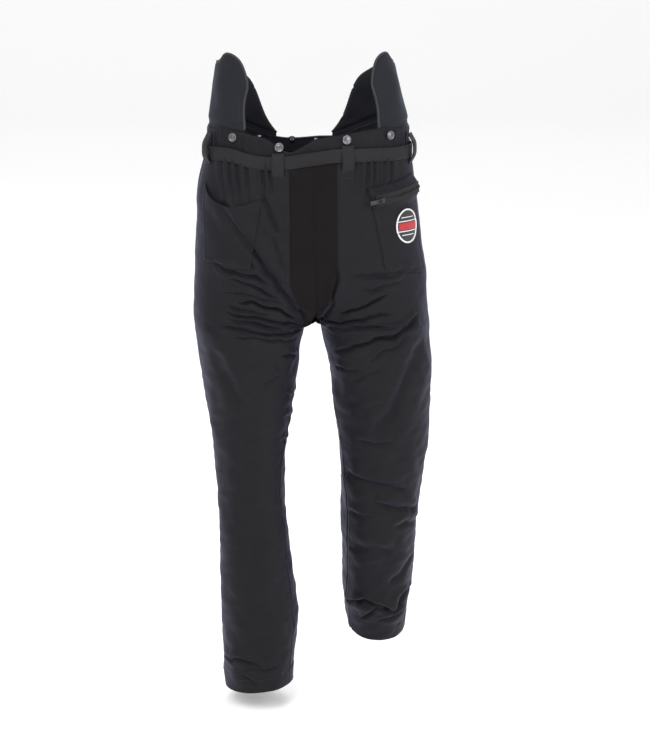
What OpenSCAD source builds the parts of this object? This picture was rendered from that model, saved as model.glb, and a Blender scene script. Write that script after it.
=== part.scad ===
// Long padded ice hockey officiating pants, worn over the skates, held up at the waist.
// Millimetres. Origin: centre of the waist opening at belt height. Front is -Y, up is +Z,
// and the wearer's left is +X. The right leg hangs straight, the left one trails behind.

/* [Waist] */
// Half width of the waistband
waist_half_w = 200; // [190:1:205]
// Half depth of the waistband
waist_half_d = 124; // [116:1:128]
// Height of the waistband's top edge above the belt line at the sides
band_side_h = 50; // [44:1:52]
// Height of the waistband's top edge above the belt line in front
band_front_h = 36; // [30:1:40]
// Height of the waistband's top edge above the belt line at the back
band_back_h = 12; // [10:1:16]

/* [Belt] */
// Height of the belt strap
belt_h = 27; // [22:1:30]
// Thickness of the belt strap
belt_th = 2.2; // [1.6:0.2:2.6]
// Width of a belt loop
loop_w = 25; // [18:1:28]
// Height of a belt loop
loop_h = 63; // [60:1:66]

/* [Shell] */
// Half width of the hips at crotch height
hip_half_w = 233; // [228:1:238]
// Half depth of the hips at their deepest
hip_half_d = 145; // [138:1:150]
// Height of the crotch below the belt line
crotch_drop = 345; // [335:1:350]
// Thickness of the shell cloth as modelled
cloth = 1.8; // [1.4:0.1:2.4]
// Squareness of the cross sections, 2 is an ellipse
squareness = 2.3; // [2:0.1:2.6]

/* [Pads] */
// Thickness of the foam in the kidney flaps
foam_th = 7; // [5:0.5:9]
// Height of the front kidney flaps' top above the belt line
flap_top = 193; // [180:1:205]
// Thickness of the hip, tailbone and thigh pads
pad_th = 10; // [6:1:14]

/* [Fittings] */
// Radius of a suspender button's cap
button_r = 9; // [7:0.5:10]
// Thickness of a suspender button's cap
button_th = 3.2; // [2.6:0.2:4]
// Depth of the hand pocket's pouch
pouch_gap = 9; // [8:0.5:10]

/* [Hidden] */

// Colours
shell_black = [0.10, 0.10, 0.12];
panel_black = [0.07, 0.06, 0.06];
lining_navy = [0.08, 0.09, 0.14];
trim_grey = [0.30, 0.30, 0.33];
webbing_black = [0.14, 0.14, 0.15];
foam_grey = [0.45, 0.45, 0.48];
steel = [0.78, 0.78, 0.80];
badge_white = [0.90, 0.90, 0.90];

// Hip sections: height, half width, half depth
band_bottom = -14;
shell_top = -17;
hip_sections = [
    [shell_top, waist_half_w + 6, waist_half_d + 4],
    [-50, waist_half_w + 10, waist_half_d + 8],
    [-105, hip_half_w - 13, hip_half_d - 2],
    [-190, hip_half_w - 7, hip_half_d],
    [-250, hip_half_w - 5, hip_half_d],
    [-300, hip_half_w - 2, hip_half_d - 3],
    [-crotch_drop, hip_half_w, hip_half_d - 8],
    [-380, hip_half_w, hip_half_d - 14]
];
groin_top = -362;

// Leg sections: height, centre x, centre y, half width, half depth, tilt of the section
groin_sections = [
    [groin_top, 124, 0, 110, 129, 0],
    [-400, 122, 0, 104, 124, 0]
];
right_leg_sections = [
    [-365, -121, 0, 107, 128, 0],
    [-450, -119, 0, 95, 118, 0],
    [-600, -122, -2, 74, 96, 0],
    [-715, -119, -4, 66, 84, 0],
    [-800, -112, -2, 73, 86, 0],
    [-960, -103, 0, 80, 92, 0],
    [-1106, -104, 0, 71, 88, 0]
];
left_leg_sections = [
    [-365, 127, 0, 107, 128, 0],
    [-450, 144, 4, 100, 118, 3],
    [-600, 152, 24, 89, 98, 8],
    [-715, 153, 48, 81, 88, 12],
    [-800, 152, 72, 78, 88, 20],
    [-940, 154, 130, 72, 88, 23],
    [-1036, 158, 172, 63, 84, 22]
];
thigh_top = -452;
knee_z = -715;
knee_gap = 45;
hem_h = 28;
right_hem_z = -1106;
left_hem_z = -1036;

// Kidney flap outlines: angle round the waist from front centre, height of the free edge
front_flap_from = 39;
front_flap_to = 88.5;
front_flap_edge = [
    [39, 132], [42, 158], [48, 180], [56, 190], [64, flap_top], [70, flap_top - 3], [74.5, 178], [88.5, 173]
];
rear_flap_from = 91.5;
rear_flap_to = 166;
rear_flap_edge = [
    [91.5, 174], [110, 168], [128, 156], [144, 137], [151, 112], [156, 72], [160, 46], [166, 28]
];
flap_lean_left = 0.25;
flap_lean_right = 0.14;
flap_gap = 6;

// Suspender buttons: angle round the waist and height
button_places = [[16, 31], [47, 36], [155.5, 12], [174.8, 4.2]];

// Hand pocket on the right, zip pocket on the left
pocket_top = -78;
pocket_bottom = -208;
zip_from_u = 31;
zip_to_u = 72;
zip_low = -88;
zip_rise = 18;

function signed_pow(v, p) = sign(v) * pow(abs(v), p);
function column(table, c, z) = lookup(z, [for (row = table) [row[0], row[c]]]);
function smooth(t) = let (s = min(1, max(0, t))) s * s * (3 - 2 * s);

// A point on the hip's left half: u runs from 0 at front centre to 180 at back centre
function hip_point(u, z, out) =
    let (a = column(hip_sections, 1, z) + out, b = column(hip_sections, 2, z) + out)
    [a * pow(max(0, sin(u)), 2 / squareness), -b * signed_pow(cos(u), 2 / squareness), z];
function groin_point(u, z, out) =
    let (a = column(groin_sections, 3, z) + out, b = column(groin_sections, 4, z) + out)
    [column(groin_sections, 1, z) - a * signed_pow(cos(2 * u), 2 / squareness),
     -b * signed_pow(sin(2 * u), 2 / squareness), z];
function crotch_share(z) = pow(smooth((-z - 225) / (-groin_top - 225)), 1.6);
function shell_point(u, z, out) =
    let (w = crotch_share(z)) (1 - w) * hip_point(u, z, out) + w * groin_point(u, z, out);

// The angle at which the hip reaches a given x on its front
function u_at_x(x, z) =
    asin(pow(min(1, x / column(hip_sections, 1, z)), squareness / 2));

// A point on the waistband ring, the same angles carried right round to 360
function band_point(u, z, out, lean_rate = 0) =
    let (lean = lean_rate * max(0, z - band_side_h),
         a = waist_half_w + out - lean, b = waist_half_d + out - lean * 0.6)
    [a * signed_pow(sin(u), 2 / squareness), -b * signed_pow(cos(u), 2 / squareness), z];
function folded(u) = u <= 180 ? u : 360 - u;
notch_u = 349;
notch_half = 9;
notch_drop = 18;
// The front right of the waist slouches: how far everything on it hangs below the rest
slouch_u = 340;
slouch_half = 34;
slouch_drop = 14;
function slouch(u) =
    slouch_drop * smooth(1 - min(abs(u - slouch_u), abs(u - slouch_u + 360)) / slouch_half);
function band_top(u) =
    let (v = folded(u),
         side = band_front_h + (band_side_h - band_front_h) * smooth(v / 36),
         back = band_side_h + (band_back_h - band_side_h) * smooth((v - 128) / 44))
    (v < 90 ? side : back) - slouch(u) - notch_drop * smooth(1 - abs(u - notch_u) / notch_half / 1.6);

// A point on a leg: t runs anticlockwise seen from above, 0 at +X
function leg_point(table, t, z, out) =
    let (a = column(table, 3, z) + out, b = column(table, 4, z) + out, tilt = column(table, 5, z),
         along = b * signed_pow(sin(t), 2 / squareness))
    [column(table, 1, z) + a * signed_pow(cos(t), 2 / squareness),
     column(table, 2, z) + along * cos(tilt), z + along * sin(tilt)];

function span(from, to, n) = [for (i = [0:n]) from + (to - from) * i / n];

// A curved plate between two grids of points. Rows run down, columns run anticlockwise
// seen from above; closed joins the last column to the first.
module plate(outer, inner, closed = false) {
    rows = len(outer);
    cols = len(outer[0]);
    total = rows * cols;
    last = closed ? cols - 1 : cols - 2;
    quads = concat(
        [for (i = [0:rows - 2], j = [0:last]) let (k = (j + 1) % cols)
            [i * cols + j, i * cols + k, (i + 1) * cols + k, (i + 1) * cols + j]],
        [for (i = [0:rows - 2], j = [0:last]) let (k = (j + 1) % cols)
            [total + i * cols + j, total + (i + 1) * cols + j,
             total + (i + 1) * cols + k, total + i * cols + k]],
        [for (j = [0:last]) let (k = (j + 1) % cols) [j, total + j, total + k, k]],
        [for (j = [0:last]) let (k = (j + 1) % cols, r = (rows - 1) * cols)
            [r + j, r + k, total + r + k, total + r + j]],
        closed ? [] : [for (i = [0:rows - 2])
            [total + i * cols, i * cols, (i + 1) * cols, total + (i + 1) * cols]],
        closed ? [] : [for (i = [0:rows - 2]) let (c = cols - 1)
            [i * cols + c, total + i * cols + c, total + (i + 1) * cols + c, (i + 1) * cols + c]]
    );
    polyhedron(concat([for (row = outer) each row], [for (row = inner) each row]),
        [for (q = quads) each [[q[0], q[1], q[2]], [q[0], q[2], q[3]]]]);
}

// Shell cloth on the left hip between two angles, which may depend on the height
module hip_cloth(heights, from, to, out, th, cols = 9) {
    function row(z, out) = [for (s = span(0, 1, cols)) shell_point(from(z) + (to(z) - from(z)) * s, z, out)];
    plate([for (z = heights) row(z, out)], [for (z = heights) row(z, out - th)]);
}

hip_heights = [shell_top, -50, -110, -170, -230, -275, -305, -326, -342, -354, groin_top];

// The stretch panel's half width narrows to a tongue at the crotch
function stretch_half(z) = z > -246 ? 47 : 47 - 29 * smooth((-246 - z) / 90);
function stretch_edge(z) = u_at_x(stretch_half(z), z);

module front_hip_panel_left() {
    color(shell_black)
        hip_cloth(hip_heights, function(z) stretch_edge(z) + 0.15, function(z) 89.9, 0, cloth);
}
module front_hip_panel_right() { mirror([1, 0, 0]) front_hip_panel_left(); }

module seat_panel_left() {
    color(shell_black)
        hip_cloth(hip_heights, function(z) 90.1, function(z) 179.7, 0, cloth, 11);
}
module seat_panel_right() { mirror([1, 0, 0]) seat_panel_left(); }

// Centre front panel of matt stretch cloth, one piece across the middle
module stretch_front_panel() {
    heights = [for (z = hip_heights) if (z > -330) z];
    shares = span(-1, 1, 8);
    color(panel_black)
        plate([for (z = heights) [for (s = shares) stretch_point(s, z, 0)]],
            [for (z = heights) [for (s = shares) stretch_point(s, z, -cloth)]]);
}
function stretch_point(s, z, out) =
    let (p = shell_point(stretch_edge(z) * abs(s), z, out)) [sign(s) * p[0], p[1], z];

// Saddle shaped gusset between the legs, from the stretch panel's tongue to the seat
module crotch_gusset() {
    half_w = 9;
    front_y = -62;
    back_y = 70;
    rise = 14;
    steps = span(0, 1, 8);
    function saddle(s, x, lift) =
        let (y = front_y + (back_y - front_y) * s, e = (2 * s - 1))
        [x, y, -crotch_drop - 4 + rise * e * e - 0.012 * x * x + lift];
    color(panel_black)
        plate([for (s = steps) [for (x = span(-half_w, half_w, 4)) saddle(s, x, 0)]],
            [for (s = steps) [for (x = span(-half_w, half_w, 4)) saddle(s, x, cloth)]]);
}

// One layer of the waistband, a closed ring with a higher edge at the sides
module band_layer(out, th, drop) {
    angles = [for (i = [0:59]) 360 - 6 * i];
    function row(share, out) = [for (u = angles)
        band_point(360 - u, band_bottom + (band_top(360 - u) - drop - band_bottom) * share, out)];
    plate([row(1, out), row(0, out)], [row(1, out - th), row(0, out - th)], closed = true);
}
module waistband_outer() { color(shell_black) band_layer(0, cloth, 0); }
module waistband_elastic() { color(trim_grey) band_layer(-cloth - 0.2, 1.6, 5); }
module waistband_lining() { color(lining_navy) band_layer(-cloth - 2, 1.2, 1); }

// The belt sits lower and further out across the back, where the seat is fuller
belt_out = 5;
belt_back_drop = 22;
loop_back_drop = 20;
belt_back_out = 4;
function belt_point(u, z, out) =
    let (back = smooth((folded(u) - 110) / 55),
         p = band_point(u, 0, belt_out + belt_back_out * back + slouch(u) / 3.5 + out))
    [p[0], p[1], z - belt_back_drop * back - slouch(u)];
module belt() {
    angles = [for (i = [0:59]) 6 * i];
    function row(z, out) = [for (u = angles) belt_point(u, z, out)];
    half = belt_h / 2;
    color(webbing_black)
        plate([row(half, belt_th), row(-half, belt_th)], [row(half, 0), row(-half, 0)], closed = true);
}

// A metal slide that the strap runs through, behind the left side loop
adjuster_u = 103;
adjuster_turn = 17;
adjuster_len = 10;
adjuster_wall = 1.6;
adjuster_gap = 3;
module belt_slide_adjuster() {
    place = belt_point(adjuster_u, 0, belt_th / 2);
    inner = [belt_th + adjuster_gap, adjuster_len + 2, belt_h + 1];
    outer = [inner[0] + 2 * adjuster_wall, adjuster_len, inner[2] + 2 * adjuster_wall];
    color(steel) translate([place[0], place[1], 0]) rotate([0, 0, adjuster_turn]) {
        difference() {
            cube(outer, center = true);
            cube(inner, center = true);
        }
    }
}

// Belt loops: a strip that stands off the cloth, with its two ends turned in and sewn down
loop_th = 1.8;
loop_top = 18.5;
loop_stand = 16;
loop_end = 4;
loop_front_x = 67;
loop_back_x = 92;
module belt_loop(place, turn, drop = 0) {
    top_tab = loop_stand - loop_th - 0.6;
    low_tab = loop_stand - loop_th - 10.2 - 0.1 * drop;
    color(webbing_black) translate([place[0], place[1], loop_top - loop_h - drop]) rotate([0, 0, turn]) {
        translate([-loop_w / 2, -loop_stand, 0]) cube([loop_w, loop_th, loop_h]);
        translate([-loop_w / 2, loop_th - loop_stand - 0.1, loop_h - loop_end])
            cube([loop_w, top_tab, loop_end]);
        translate([-loop_w / 2, loop_th - loop_stand - 0.1, 0]) cube([loop_w, low_tab, loop_end]);
    }
}
function ring_y(x) = waist_half_d * pow(1 - pow(x / waist_half_w, squareness), 1 / squareness);
loop_front_place = [loop_front_x, -ring_y(loop_front_x - loop_w / 2)];
loop_back_place = [loop_back_x, ring_y(loop_back_x) + 1];
loop_back_turn = 166;
loop_side_u = 74;
loop_side_turn = 68.5;
module belt_loop_front_left() { belt_loop(loop_front_place, 0); }
module belt_loop_front_right() {
    mirror([1, 0, 0]) belt_loop(loop_front_place, 0, slouch(344));
}
module belt_loop_side_left() { belt_loop(band_point(loop_side_u, 0, 0), loop_side_turn); }
module belt_loop_side_right() { mirror([1, 0, 0]) belt_loop_side_left(); }
module belt_loop_back_left() { belt_loop(loop_back_place, loop_back_turn, loop_back_drop); }
module belt_loop_back_right() { mirror([1, 0, 0]) belt_loop_back_left(); }
module belt_loop_back_center() { belt_loop([0, waist_half_d], 180, belt_back_drop); }

// Suspender buttons: a cap outside the waistband, a rivet through it with its head inside
module at_button(place, side) {
    u = place[0];
    z = place[1] - (side < 0 ? slouch(360 - u) : 0);
    p = band_point(u, z, 0);
    q = band_point(u + 1, z, 0);
    turn = atan2(q[1] - p[1], q[0] - p[0]);
    mirror([side < 0 ? 1 : 0, 0, 0]) translate(p) rotate([0, 0, turn]) rotate([90, 0, 0]) children();
}
module suspender_button_caps() {
    lift = 2.4;
    color(steel) for (side = [-1, 1], place = button_places) at_button(place, side)
        translate([0, 0, lift]) difference() {
            cylinder(r = button_r, h = button_th, $fn = 40);
            translate([0, 0, -1]) cylinder(r = 1.7, h = 2.2, $fn = 24);
            translate([0, 0, button_th - 0.8]) cylinder(r = button_r - 2.4, h = 2, $fn = 40);
        }
}
module suspender_button_posts() {
    stem_r = 1.5;
    head_r = 5.5;
    inside = cloth + 4.2;
    color(steel) for (side = [-1, 1], place = button_places) at_button(place, side) {
        translate([0, 0, -inside]) cylinder(r = stem_r, h = inside + 3.4, $fn = 24);
        translate([0, 0, -inside - 1.2]) cylinder(r = head_r, h = 1.3, $fn = 32);
    }
}

// Hand pocket: a patch that stands off the shell like a pouch, open along its curved mouth
hand_from_x = 104;
hand_to_u = 74;
module hand_pocket_patch() {
    heights = span(0, 1, 6);
    cols = 8;
    function mouth(s) = pocket_top - 26 + 30 * pow(s, 1.5);
    function point(s, h, out) =
        let (z = mouth(s) + (pocket_bottom - 15 * (1 - s) - mouth(s)) * h,
             u = u_at_x(hand_from_x, -160) + (hand_to_u - u_at_x(hand_from_x, -160)) * s)
        hip_point(u, z, out);
    function sheet(s0, s1, h0, h1, out) = [for (h = heights)
        [for (s = span(s0, s1, cols)) point(s, h0 + (h1 - h0) * h, out)]];
    rim = 0.025;
    tab_gap = 0.9;
    color(shell_black) mirror([1, 0, 0]) union() {
        plate(sheet(0, 1, 0, 1, pouch_gap + cloth), sheet(0, 1, 0, 1, pouch_gap));
        plate(sheet(0.003, rim, 0.004, 1 - rim / 2, pouch_gap + 0.4),
              sheet(0.003, rim, 0.004, 1 - rim / 2, tab_gap));
        plate(sheet(1 - rim, 0.997, 0.004, 1 - rim / 2, pouch_gap + 0.4),
              sheet(1 - rim, 0.997, 0.004, 1 - rim / 2, tab_gap));
        plate(sheet(0.006, 0.994, 1 - rim, 0.997, pouch_gap + 0.55),
              sheet(0.006, 0.994, 1 - rim, 0.997, tab_gap + 0.1));
    }
}

// Zip pocket: the zip climbs from front to side on an arc round the hip
zip_mid_u = (zip_from_u + zip_to_u) / 2;
zip_stand = 3.4;
function zip_rest(u) = zip_low + zip_rise * (u - zip_from_u) / (zip_to_u - zip_from_u);
zip_a = hip_point(zip_from_u, -86, zip_stand);
zip_b = hip_point(zip_mid_u, -86, zip_stand);
zip_c = hip_point(zip_to_u, -86, zip_stand);
function cross_z(p, q) = p[0] * q[1] - p[1] * q[0];
function circle_centre(p, q, r) =
    let (d = 2 * (p[0] * (q[1] - r[1]) + q[0] * (r[1] - p[1]) + r[0] * (p[1] - q[1])),
         pp = p[0] * p[0] + p[1] * p[1], qq = q[0] * q[0] + q[1] * q[1], rr = r[0] * r[0] + r[1] * r[1])
    [(pp * (q[1] - r[1]) + qq * (r[1] - p[1]) + rr * (p[1] - q[1])) / d,
     (pp * (r[0] - q[0]) + qq * (p[0] - r[0]) + rr * (q[0] - p[0])) / d];
zip_centre = circle_centre(zip_a, zip_b, zip_c);
zip_r = norm([zip_a[0] - zip_centre[0], zip_a[1] - zip_centre[1]]);
zip_angle_a = atan2(zip_a[1] - zip_centre[1], zip_a[0] - zip_centre[0]);
zip_angle_c = atan2(zip_c[1] - zip_centre[1], zip_c[0] - zip_centre[0]);
zip_turn = zip_angle_c - zip_angle_a;
zip_pitch = 3;
zip_slope = atan(zip_rise / (2 * zip_r * sin(zip_turn / 2)));

// A frame on the zip's arc: local X runs along the zip, local Y points away from the hip
module on_zip(angle) {
    mid = (zip_angle_a + zip_angle_c) / 2;
    translate([zip_centre[0], zip_centre[1], zip_low + zip_rise / 2])
        rotate([0, 0, mid]) rotate([zip_slope, 0, 0])
            rotate([0, 0, angle - mid]) translate([zip_r, 0, 0])
                rotate([0, 0, 90]) mirror([0, 1, 0]) children();
}
module zip_band(r0, r1, low, high, from, to) {
    mid = (zip_angle_a + zip_angle_c) / 2;
    translate([zip_centre[0], zip_centre[1], zip_low + zip_rise / 2])
        rotate([0, 0, mid]) rotate([zip_slope, 0, 0]) rotate([0, 0, from - mid])
            translate([0, 0, low]) rotate_extrude(angle = to - from, $fn = 180)
                translate([zip_r + r0, 0]) square([r1 - r0, high - low]);
}
module zip_tape() {
    color(webbing_black) zip_band(4.2, 5, -11, 11, zip_angle_a - 1, zip_angle_c + 1);
}
module zip_teeth() {
    steps = floor(zip_turn * PI * zip_r / 180 / zip_pitch);
    color(trim_grey) for (i = [0:steps - 1])
        on_zip(zip_angle_a + zip_turn * (i + 0.5) / steps)
            translate([-0.8, 5.05, i % 2 == 0 ? -1.9 : -0.3]) cube([1.6, 1.5, 2.2]);
}
module zip_stops() {
    color(steel) for (angle = [zip_angle_a - 1.3, zip_angle_c + 0.6])
        on_zip(angle) translate([-1.2, 5.05, -3]) cube([2.4, 1.8, 6]);
}
slider_angle = 3.4;
module zip_slider() {
    color(steel) on_zip(zip_angle_a + slider_angle) difference() {
        union() {
            translate([-5.5, 6.95, -4.5]) cube([11, 1.6, 9]);
            translate([-2.2, 8.5, -1.4]) cube([4.4, 3.4, 2.8]);
        }
        translate([0, 10.2, -5]) cylinder(r = 0.9, h = 10, $fn = 20);
    }
}
module zip_pull() {
    color(steel) on_zip(zip_angle_a + slider_angle) {
        translate([0, 10.2, -4]) cylinder(r = 0.8, h = 8, $fn = 20);
        for (side = [-1, 1]) translate([-9, 9.5, side * 3.1 - 0.9]) cube([9.6, 1.4, 1.8]);
        translate([-27, 9.5, -4]) cube([18.2, 1.4, 8]);
    }
}

// Patch of the zip pocket, sewn flat on the shell under the zip
module zip_pocket_patch() {
    heights = span(0, 1, 7);
    function edge_top(u) = zip_rest(u) + 26;
    function point(s, h, out) =
        let (across = zip_from_u - 3 + (zip_to_u + 4 - zip_from_u) * s, u = across + 7 * h * (1 - s),
             z = edge_top(across) + (-220 - 19 * s - edge_top(across)) * h)
        hip_point(u, z, out);
    color(shell_black)
        plate([for (h = heights) [for (s = span(0, 1, 9)) point(s, h, 2.2)]],
            [for (h = heights) [for (s = span(0, 1, 9)) point(s, h, 0.4)]]);
}

// Round embroidered patch on the zip pocket
badge_r = 34;
badge_z = -143;
module crest_badge() {
    centre = hip_point(56, badge_z, 0);
    next = hip_point(56.5, badge_z, 0);
    turn = atan2(next[1] - centre[1], next[0] - centre[0]);
    color(badge_white) intersection() {
        plate([for (z = span(badge_z + 39, badge_z - 39, 4)) [for (u = span(40, 74, 10)) hip_point(u, z, 4.4)]],
            [for (z = span(badge_z + 39, badge_z - 39, 4)) [for (u = span(40, 74, 10)) hip_point(u, z, 2.6)]]);
        translate(centre) rotate([0, 0, turn]) rotate([90, 0, 0])
            translate([0, 0, -30]) cylinder(r = badge_r, h = 60, $fn = 40);
    }
}

// Foam pads sewn inside the shell
pad_inset = cloth + 1.5;
module hip_pad_left() {
    color(foam_grey)
        hip_cloth([-75, -120, -170, -220, -262], function(z) 58, function(z) 126, -pad_inset, pad_th, 7);
}
module hip_pad_right() { mirror([1, 0, 0]) hip_pad_left(); }
module tailbone_pad() {
    heights = [-60, -110, -160, -215];
    function point(u, z, out) = let (p = hip_point(folded(u), z, out)) [u > 180 ? -p[0] : p[0], p[1], z];
    function grid(out) = [for (z = heights) [for (u = span(163, 197, 6)) point(u, z, out)]];
    color(foam_grey) plate(grid(-pad_inset), grid(-pad_inset - pad_th));
}

// Kidney flaps: a sewn bag of cloth open at its base, the foam in it and the bound edge
function flap_base(u) = band_top(u) + slouch(u) + flap_gap;
function flap_height(u, edge, h, trim) =
    let (low = flap_base(u)) low + (lookup(u, edge) - trim - low) * (1 - h);
module flap_body(from, to, edge, lean, out, th, trim, drop) {
    pad = trim / 3.2;
    angles = span(from + pad, to - pad, 12);
    function point(u, h, out) =
        let (z = flap_height(u, edge, h, trim) - (h == 1 ? drop : 0)) band_point(u, z, out, lean);
    function grid(out) = [for (h = span(0, 1, 5)) [for (u = angles) point(u, h, out)]];
    plate(grid(out), grid(out - th));
}
cover_th = 1.2;
cover_out = 1;
module flap_cover(from, to, edge, lean) {
    color(shell_black) difference() {
        flap_body(from, to, edge, lean, cover_out, foam_th + 2 * cover_th, 0, 0);
        flap_body(from, to, edge, lean, cover_out - cover_th + 0.1, foam_th - 0.2, cover_th, 4);
    }
}
module flap_foam(from, to, edge, lean) {
    color(foam_grey)
        flap_body(from, to, edge, lean, cover_out - cover_th - 0.4, foam_th - 1.2, cover_th + 0.6, 0);
}

// Round binding along the free edge: up the front, over the top
piping_r = 2.6;
module flap_piping(from, to, edge, lean, both_ends) {
    step = 3.2;
    mid_out = cover_out - foam_th / 2 - cover_th;
    side_gap = 1.15;
    rise = [for (z = [flap_base(from) + 4 : 22 : lookup(from, edge) - 4])
        band_point(from - side_gap, z, mid_out, lean)];
    over = [for (u = [from : step : to])
        band_point(u, lookup(u, edge) + piping_r + 0.2, mid_out, lean)];
    path = both_ends ? concat(rise, over) : over;
    count = len(path);
    sides = 8;
    function along(i) = path[min(count - 1, i + 1)] - path[max(0, i - 1)];
    function unit(v) = v / norm(v);
    rings = [for (i = [0:count - 1])
        let (t = unit(along(i)), n = unit(cross(t, [path[i][0], path[i][1], 0])), m = cross(t, n))
        [for (k = [0:sides - 1]) path[i] + piping_r * (cos(360 * k / sides) * n + sin(360 * k / sides) * m)]];
    faces = concat(
        [[for (k = [0:sides - 1]) k]],
        [[for (k = [0:sides - 1]) (count - 1) * sides + sides - 1 - k]],
        [for (i = [0:count - 2], k = [0:sides - 1]) let (j = (k + 1) % sides)
            each [[i * sides + k, (i + 1) * sides + k, (i + 1) * sides + j],
                  [i * sides + k, (i + 1) * sides + j, i * sides + j]]]
    );
    color(trim_grey) polyhedron([for (ring = rings) each ring], faces);
}
module front_cover(lean) { flap_cover(front_flap_from, front_flap_to, front_flap_edge, lean); }
module front_kidney_cover_left() { front_cover(flap_lean_left); }
module front_foam(lean) { flap_foam(front_flap_from, front_flap_to, front_flap_edge, lean); }
module front_kidney_foam_left() { front_foam(flap_lean_left); }
module front_piping(lean) { flap_piping(front_flap_from, front_flap_to, front_flap_edge, lean, true); }
module front_kidney_piping_left() { front_piping(flap_lean_left); }
module front_kidney_cover_right() { mirror([1, 0, 0]) front_cover(flap_lean_right); }
module front_kidney_foam_right() { mirror([1, 0, 0]) front_foam(flap_lean_right); }
module front_kidney_piping_right() { mirror([1, 0, 0]) front_piping(flap_lean_right); }
module rear_cover(lean) { flap_cover(rear_flap_from, rear_flap_to, rear_flap_edge, lean); }
module rear_kidney_cover_left() { rear_cover(flap_lean_left); }
module rear_foam(lean) { flap_foam(rear_flap_from, rear_flap_to, rear_flap_edge, lean); }
module rear_kidney_foam_left() { rear_foam(flap_lean_left); }
module rear_piping(lean) { flap_piping(rear_flap_from, rear_flap_to, rear_flap_edge, lean, false); }
module rear_kidney_piping_left() { rear_piping(flap_lean_left); }
module rear_kidney_cover_right() { mirror([1, 0, 0]) rear_cover(flap_lean_right); }
module rear_kidney_foam_right() { mirror([1, 0, 0]) rear_foam(flap_lean_right); }
module rear_kidney_piping_right() { mirror([1, 0, 0]) rear_piping(flap_lean_right); }

// Leg cloth between two heights and two angles
module leg_cloth(table, from_z, to_z, from_t, to_t, rows, cols, out = 0, th = cloth) {
    function row(z, out) = [for (t = span(from_t, to_t, cols)) leg_point(table, t, z, out)];
    heights = span(from_z, to_z, rows);
    plate([for (z = heights) row(z, out)], [for (z = heights) row(z, out - th)]);
}
module leg_sleeve(table, from_z, to_z, rows, out = 0, th = cloth) {
    angles = [for (i = [0:23]) 15 * i];
    function grid(out) = [for (z = span(from_z, to_z, rows)) [for (t = angles) leg_point(table, t, z, out)]];
    plate(grid(out), grid(out - th), closed = true);
}
module thigh_panel(table, from_t, to_t) {
    color(shell_black) leg_cloth(table, thigh_top, knee_z + knee_gap, from_t, to_t, 5, 10);
}
module shin_panel(table, hem_z, from_t, to_t) {
    color(shell_black) leg_cloth(table, knee_z - knee_gap, hem_z + hem_h, from_t, to_t, 6, 10);
}
module thigh_front_panel_left() { thigh_panel(left_leg_sections, 180.2, 359.8); }
module thigh_back_panel_left() { thigh_panel(left_leg_sections, 0.2, 179.8); }
module thigh_front_panel_right() { thigh_panel(right_leg_sections, 180.2, 359.8); }
module thigh_back_panel_right() { thigh_panel(right_leg_sections, 0.2, 179.8); }
module shin_front_panel_left() { shin_panel(left_leg_sections, left_hem_z, 180.2, 359.8); }
module shin_back_panel_left() { shin_panel(left_leg_sections, left_hem_z, 0.2, 179.8); }
module shin_front_panel_right() { shin_panel(right_leg_sections, right_hem_z, 180.2, 359.8); }
module shin_back_panel_right() { shin_panel(right_leg_sections, right_hem_z, 0.2, 179.8); }

module hem_band_left() {
    color(shell_black)
        leg_sleeve(left_leg_sections, left_hem_z + hem_h - 0.4, left_hem_z, 1, 0.4, cloth + 0.8);
}
module hem_band_right() {
    color(shell_black)
        leg_sleeve(right_leg_sections, right_hem_z + hem_h - 0.4, right_hem_z, 1, 0.4, cloth + 0.8);
}
module groin_fabric(table) {
    color(shell_black) leg_sleeve(table, groin_top - 3, thigh_top + 1, 3);
}
module groin_fabric_left() { groin_fabric(left_leg_sections); }
module groin_fabric_right() { groin_fabric(right_leg_sections); }
module knee_fabric(table) {
    color(shell_black) leg_sleeve(table, knee_z + knee_gap - 1, knee_z - knee_gap + 1, 3);
}
module knee_fabric_left() { knee_fabric(left_leg_sections); }
module knee_fabric_right() { knee_fabric(right_leg_sections); }
module thigh_pad(table, from_t, to_t) {
    color(foam_grey) leg_cloth(table, -466, -636, from_t, to_t, 4, 7, -pad_inset, pad_th);
}
module thigh_pad_left() { thigh_pad(left_leg_sections, 222, 338); }
module thigh_pad_right() { thigh_pad(right_leg_sections, 202, 318); }

front_hip_panel_left();
front_hip_panel_right();
seat_panel_left();
seat_panel_right();
stretch_front_panel();
crotch_gusset();
waistband_outer();
waistband_elastic();
waistband_lining();
belt();
belt_slide_adjuster();
belt_loop_front_left();
belt_loop_front_right();
belt_loop_side_left();
belt_loop_side_right();
belt_loop_back_left();
belt_loop_back_right();
belt_loop_back_center();
suspender_button_caps();
suspender_button_posts();
hand_pocket_patch();
zip_pocket_patch();
zip_tape();
zip_teeth();
zip_stops();
zip_slider();
zip_pull();
crest_badge();
hip_pad_left();
hip_pad_right();
tailbone_pad();
front_kidney_cover_left();
front_kidney_foam_left();
front_kidney_piping_left();
front_kidney_cover_right();
front_kidney_foam_right();
front_kidney_piping_right();
rear_kidney_cover_left();
rear_kidney_foam_left();
rear_kidney_piping_left();
rear_kidney_cover_right();
rear_kidney_foam_right();
rear_kidney_piping_right();
groin_fabric_left();
groin_fabric_right();
thigh_front_panel_left();
thigh_back_panel_left();
thigh_pad_left();
thigh_front_panel_right();
thigh_back_panel_right();
thigh_pad_right();
knee_fabric_left();
knee_fabric_right();
shin_front_panel_left();
shin_back_panel_left();
hem_band_left();
shin_front_panel_right();
shin_back_panel_right();
hem_band_right();
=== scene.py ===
import math
import random

import bpy
import numpy as np
from mathutils import Matrix, Vector
from mathutils.bvhtree import BVHTree


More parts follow.
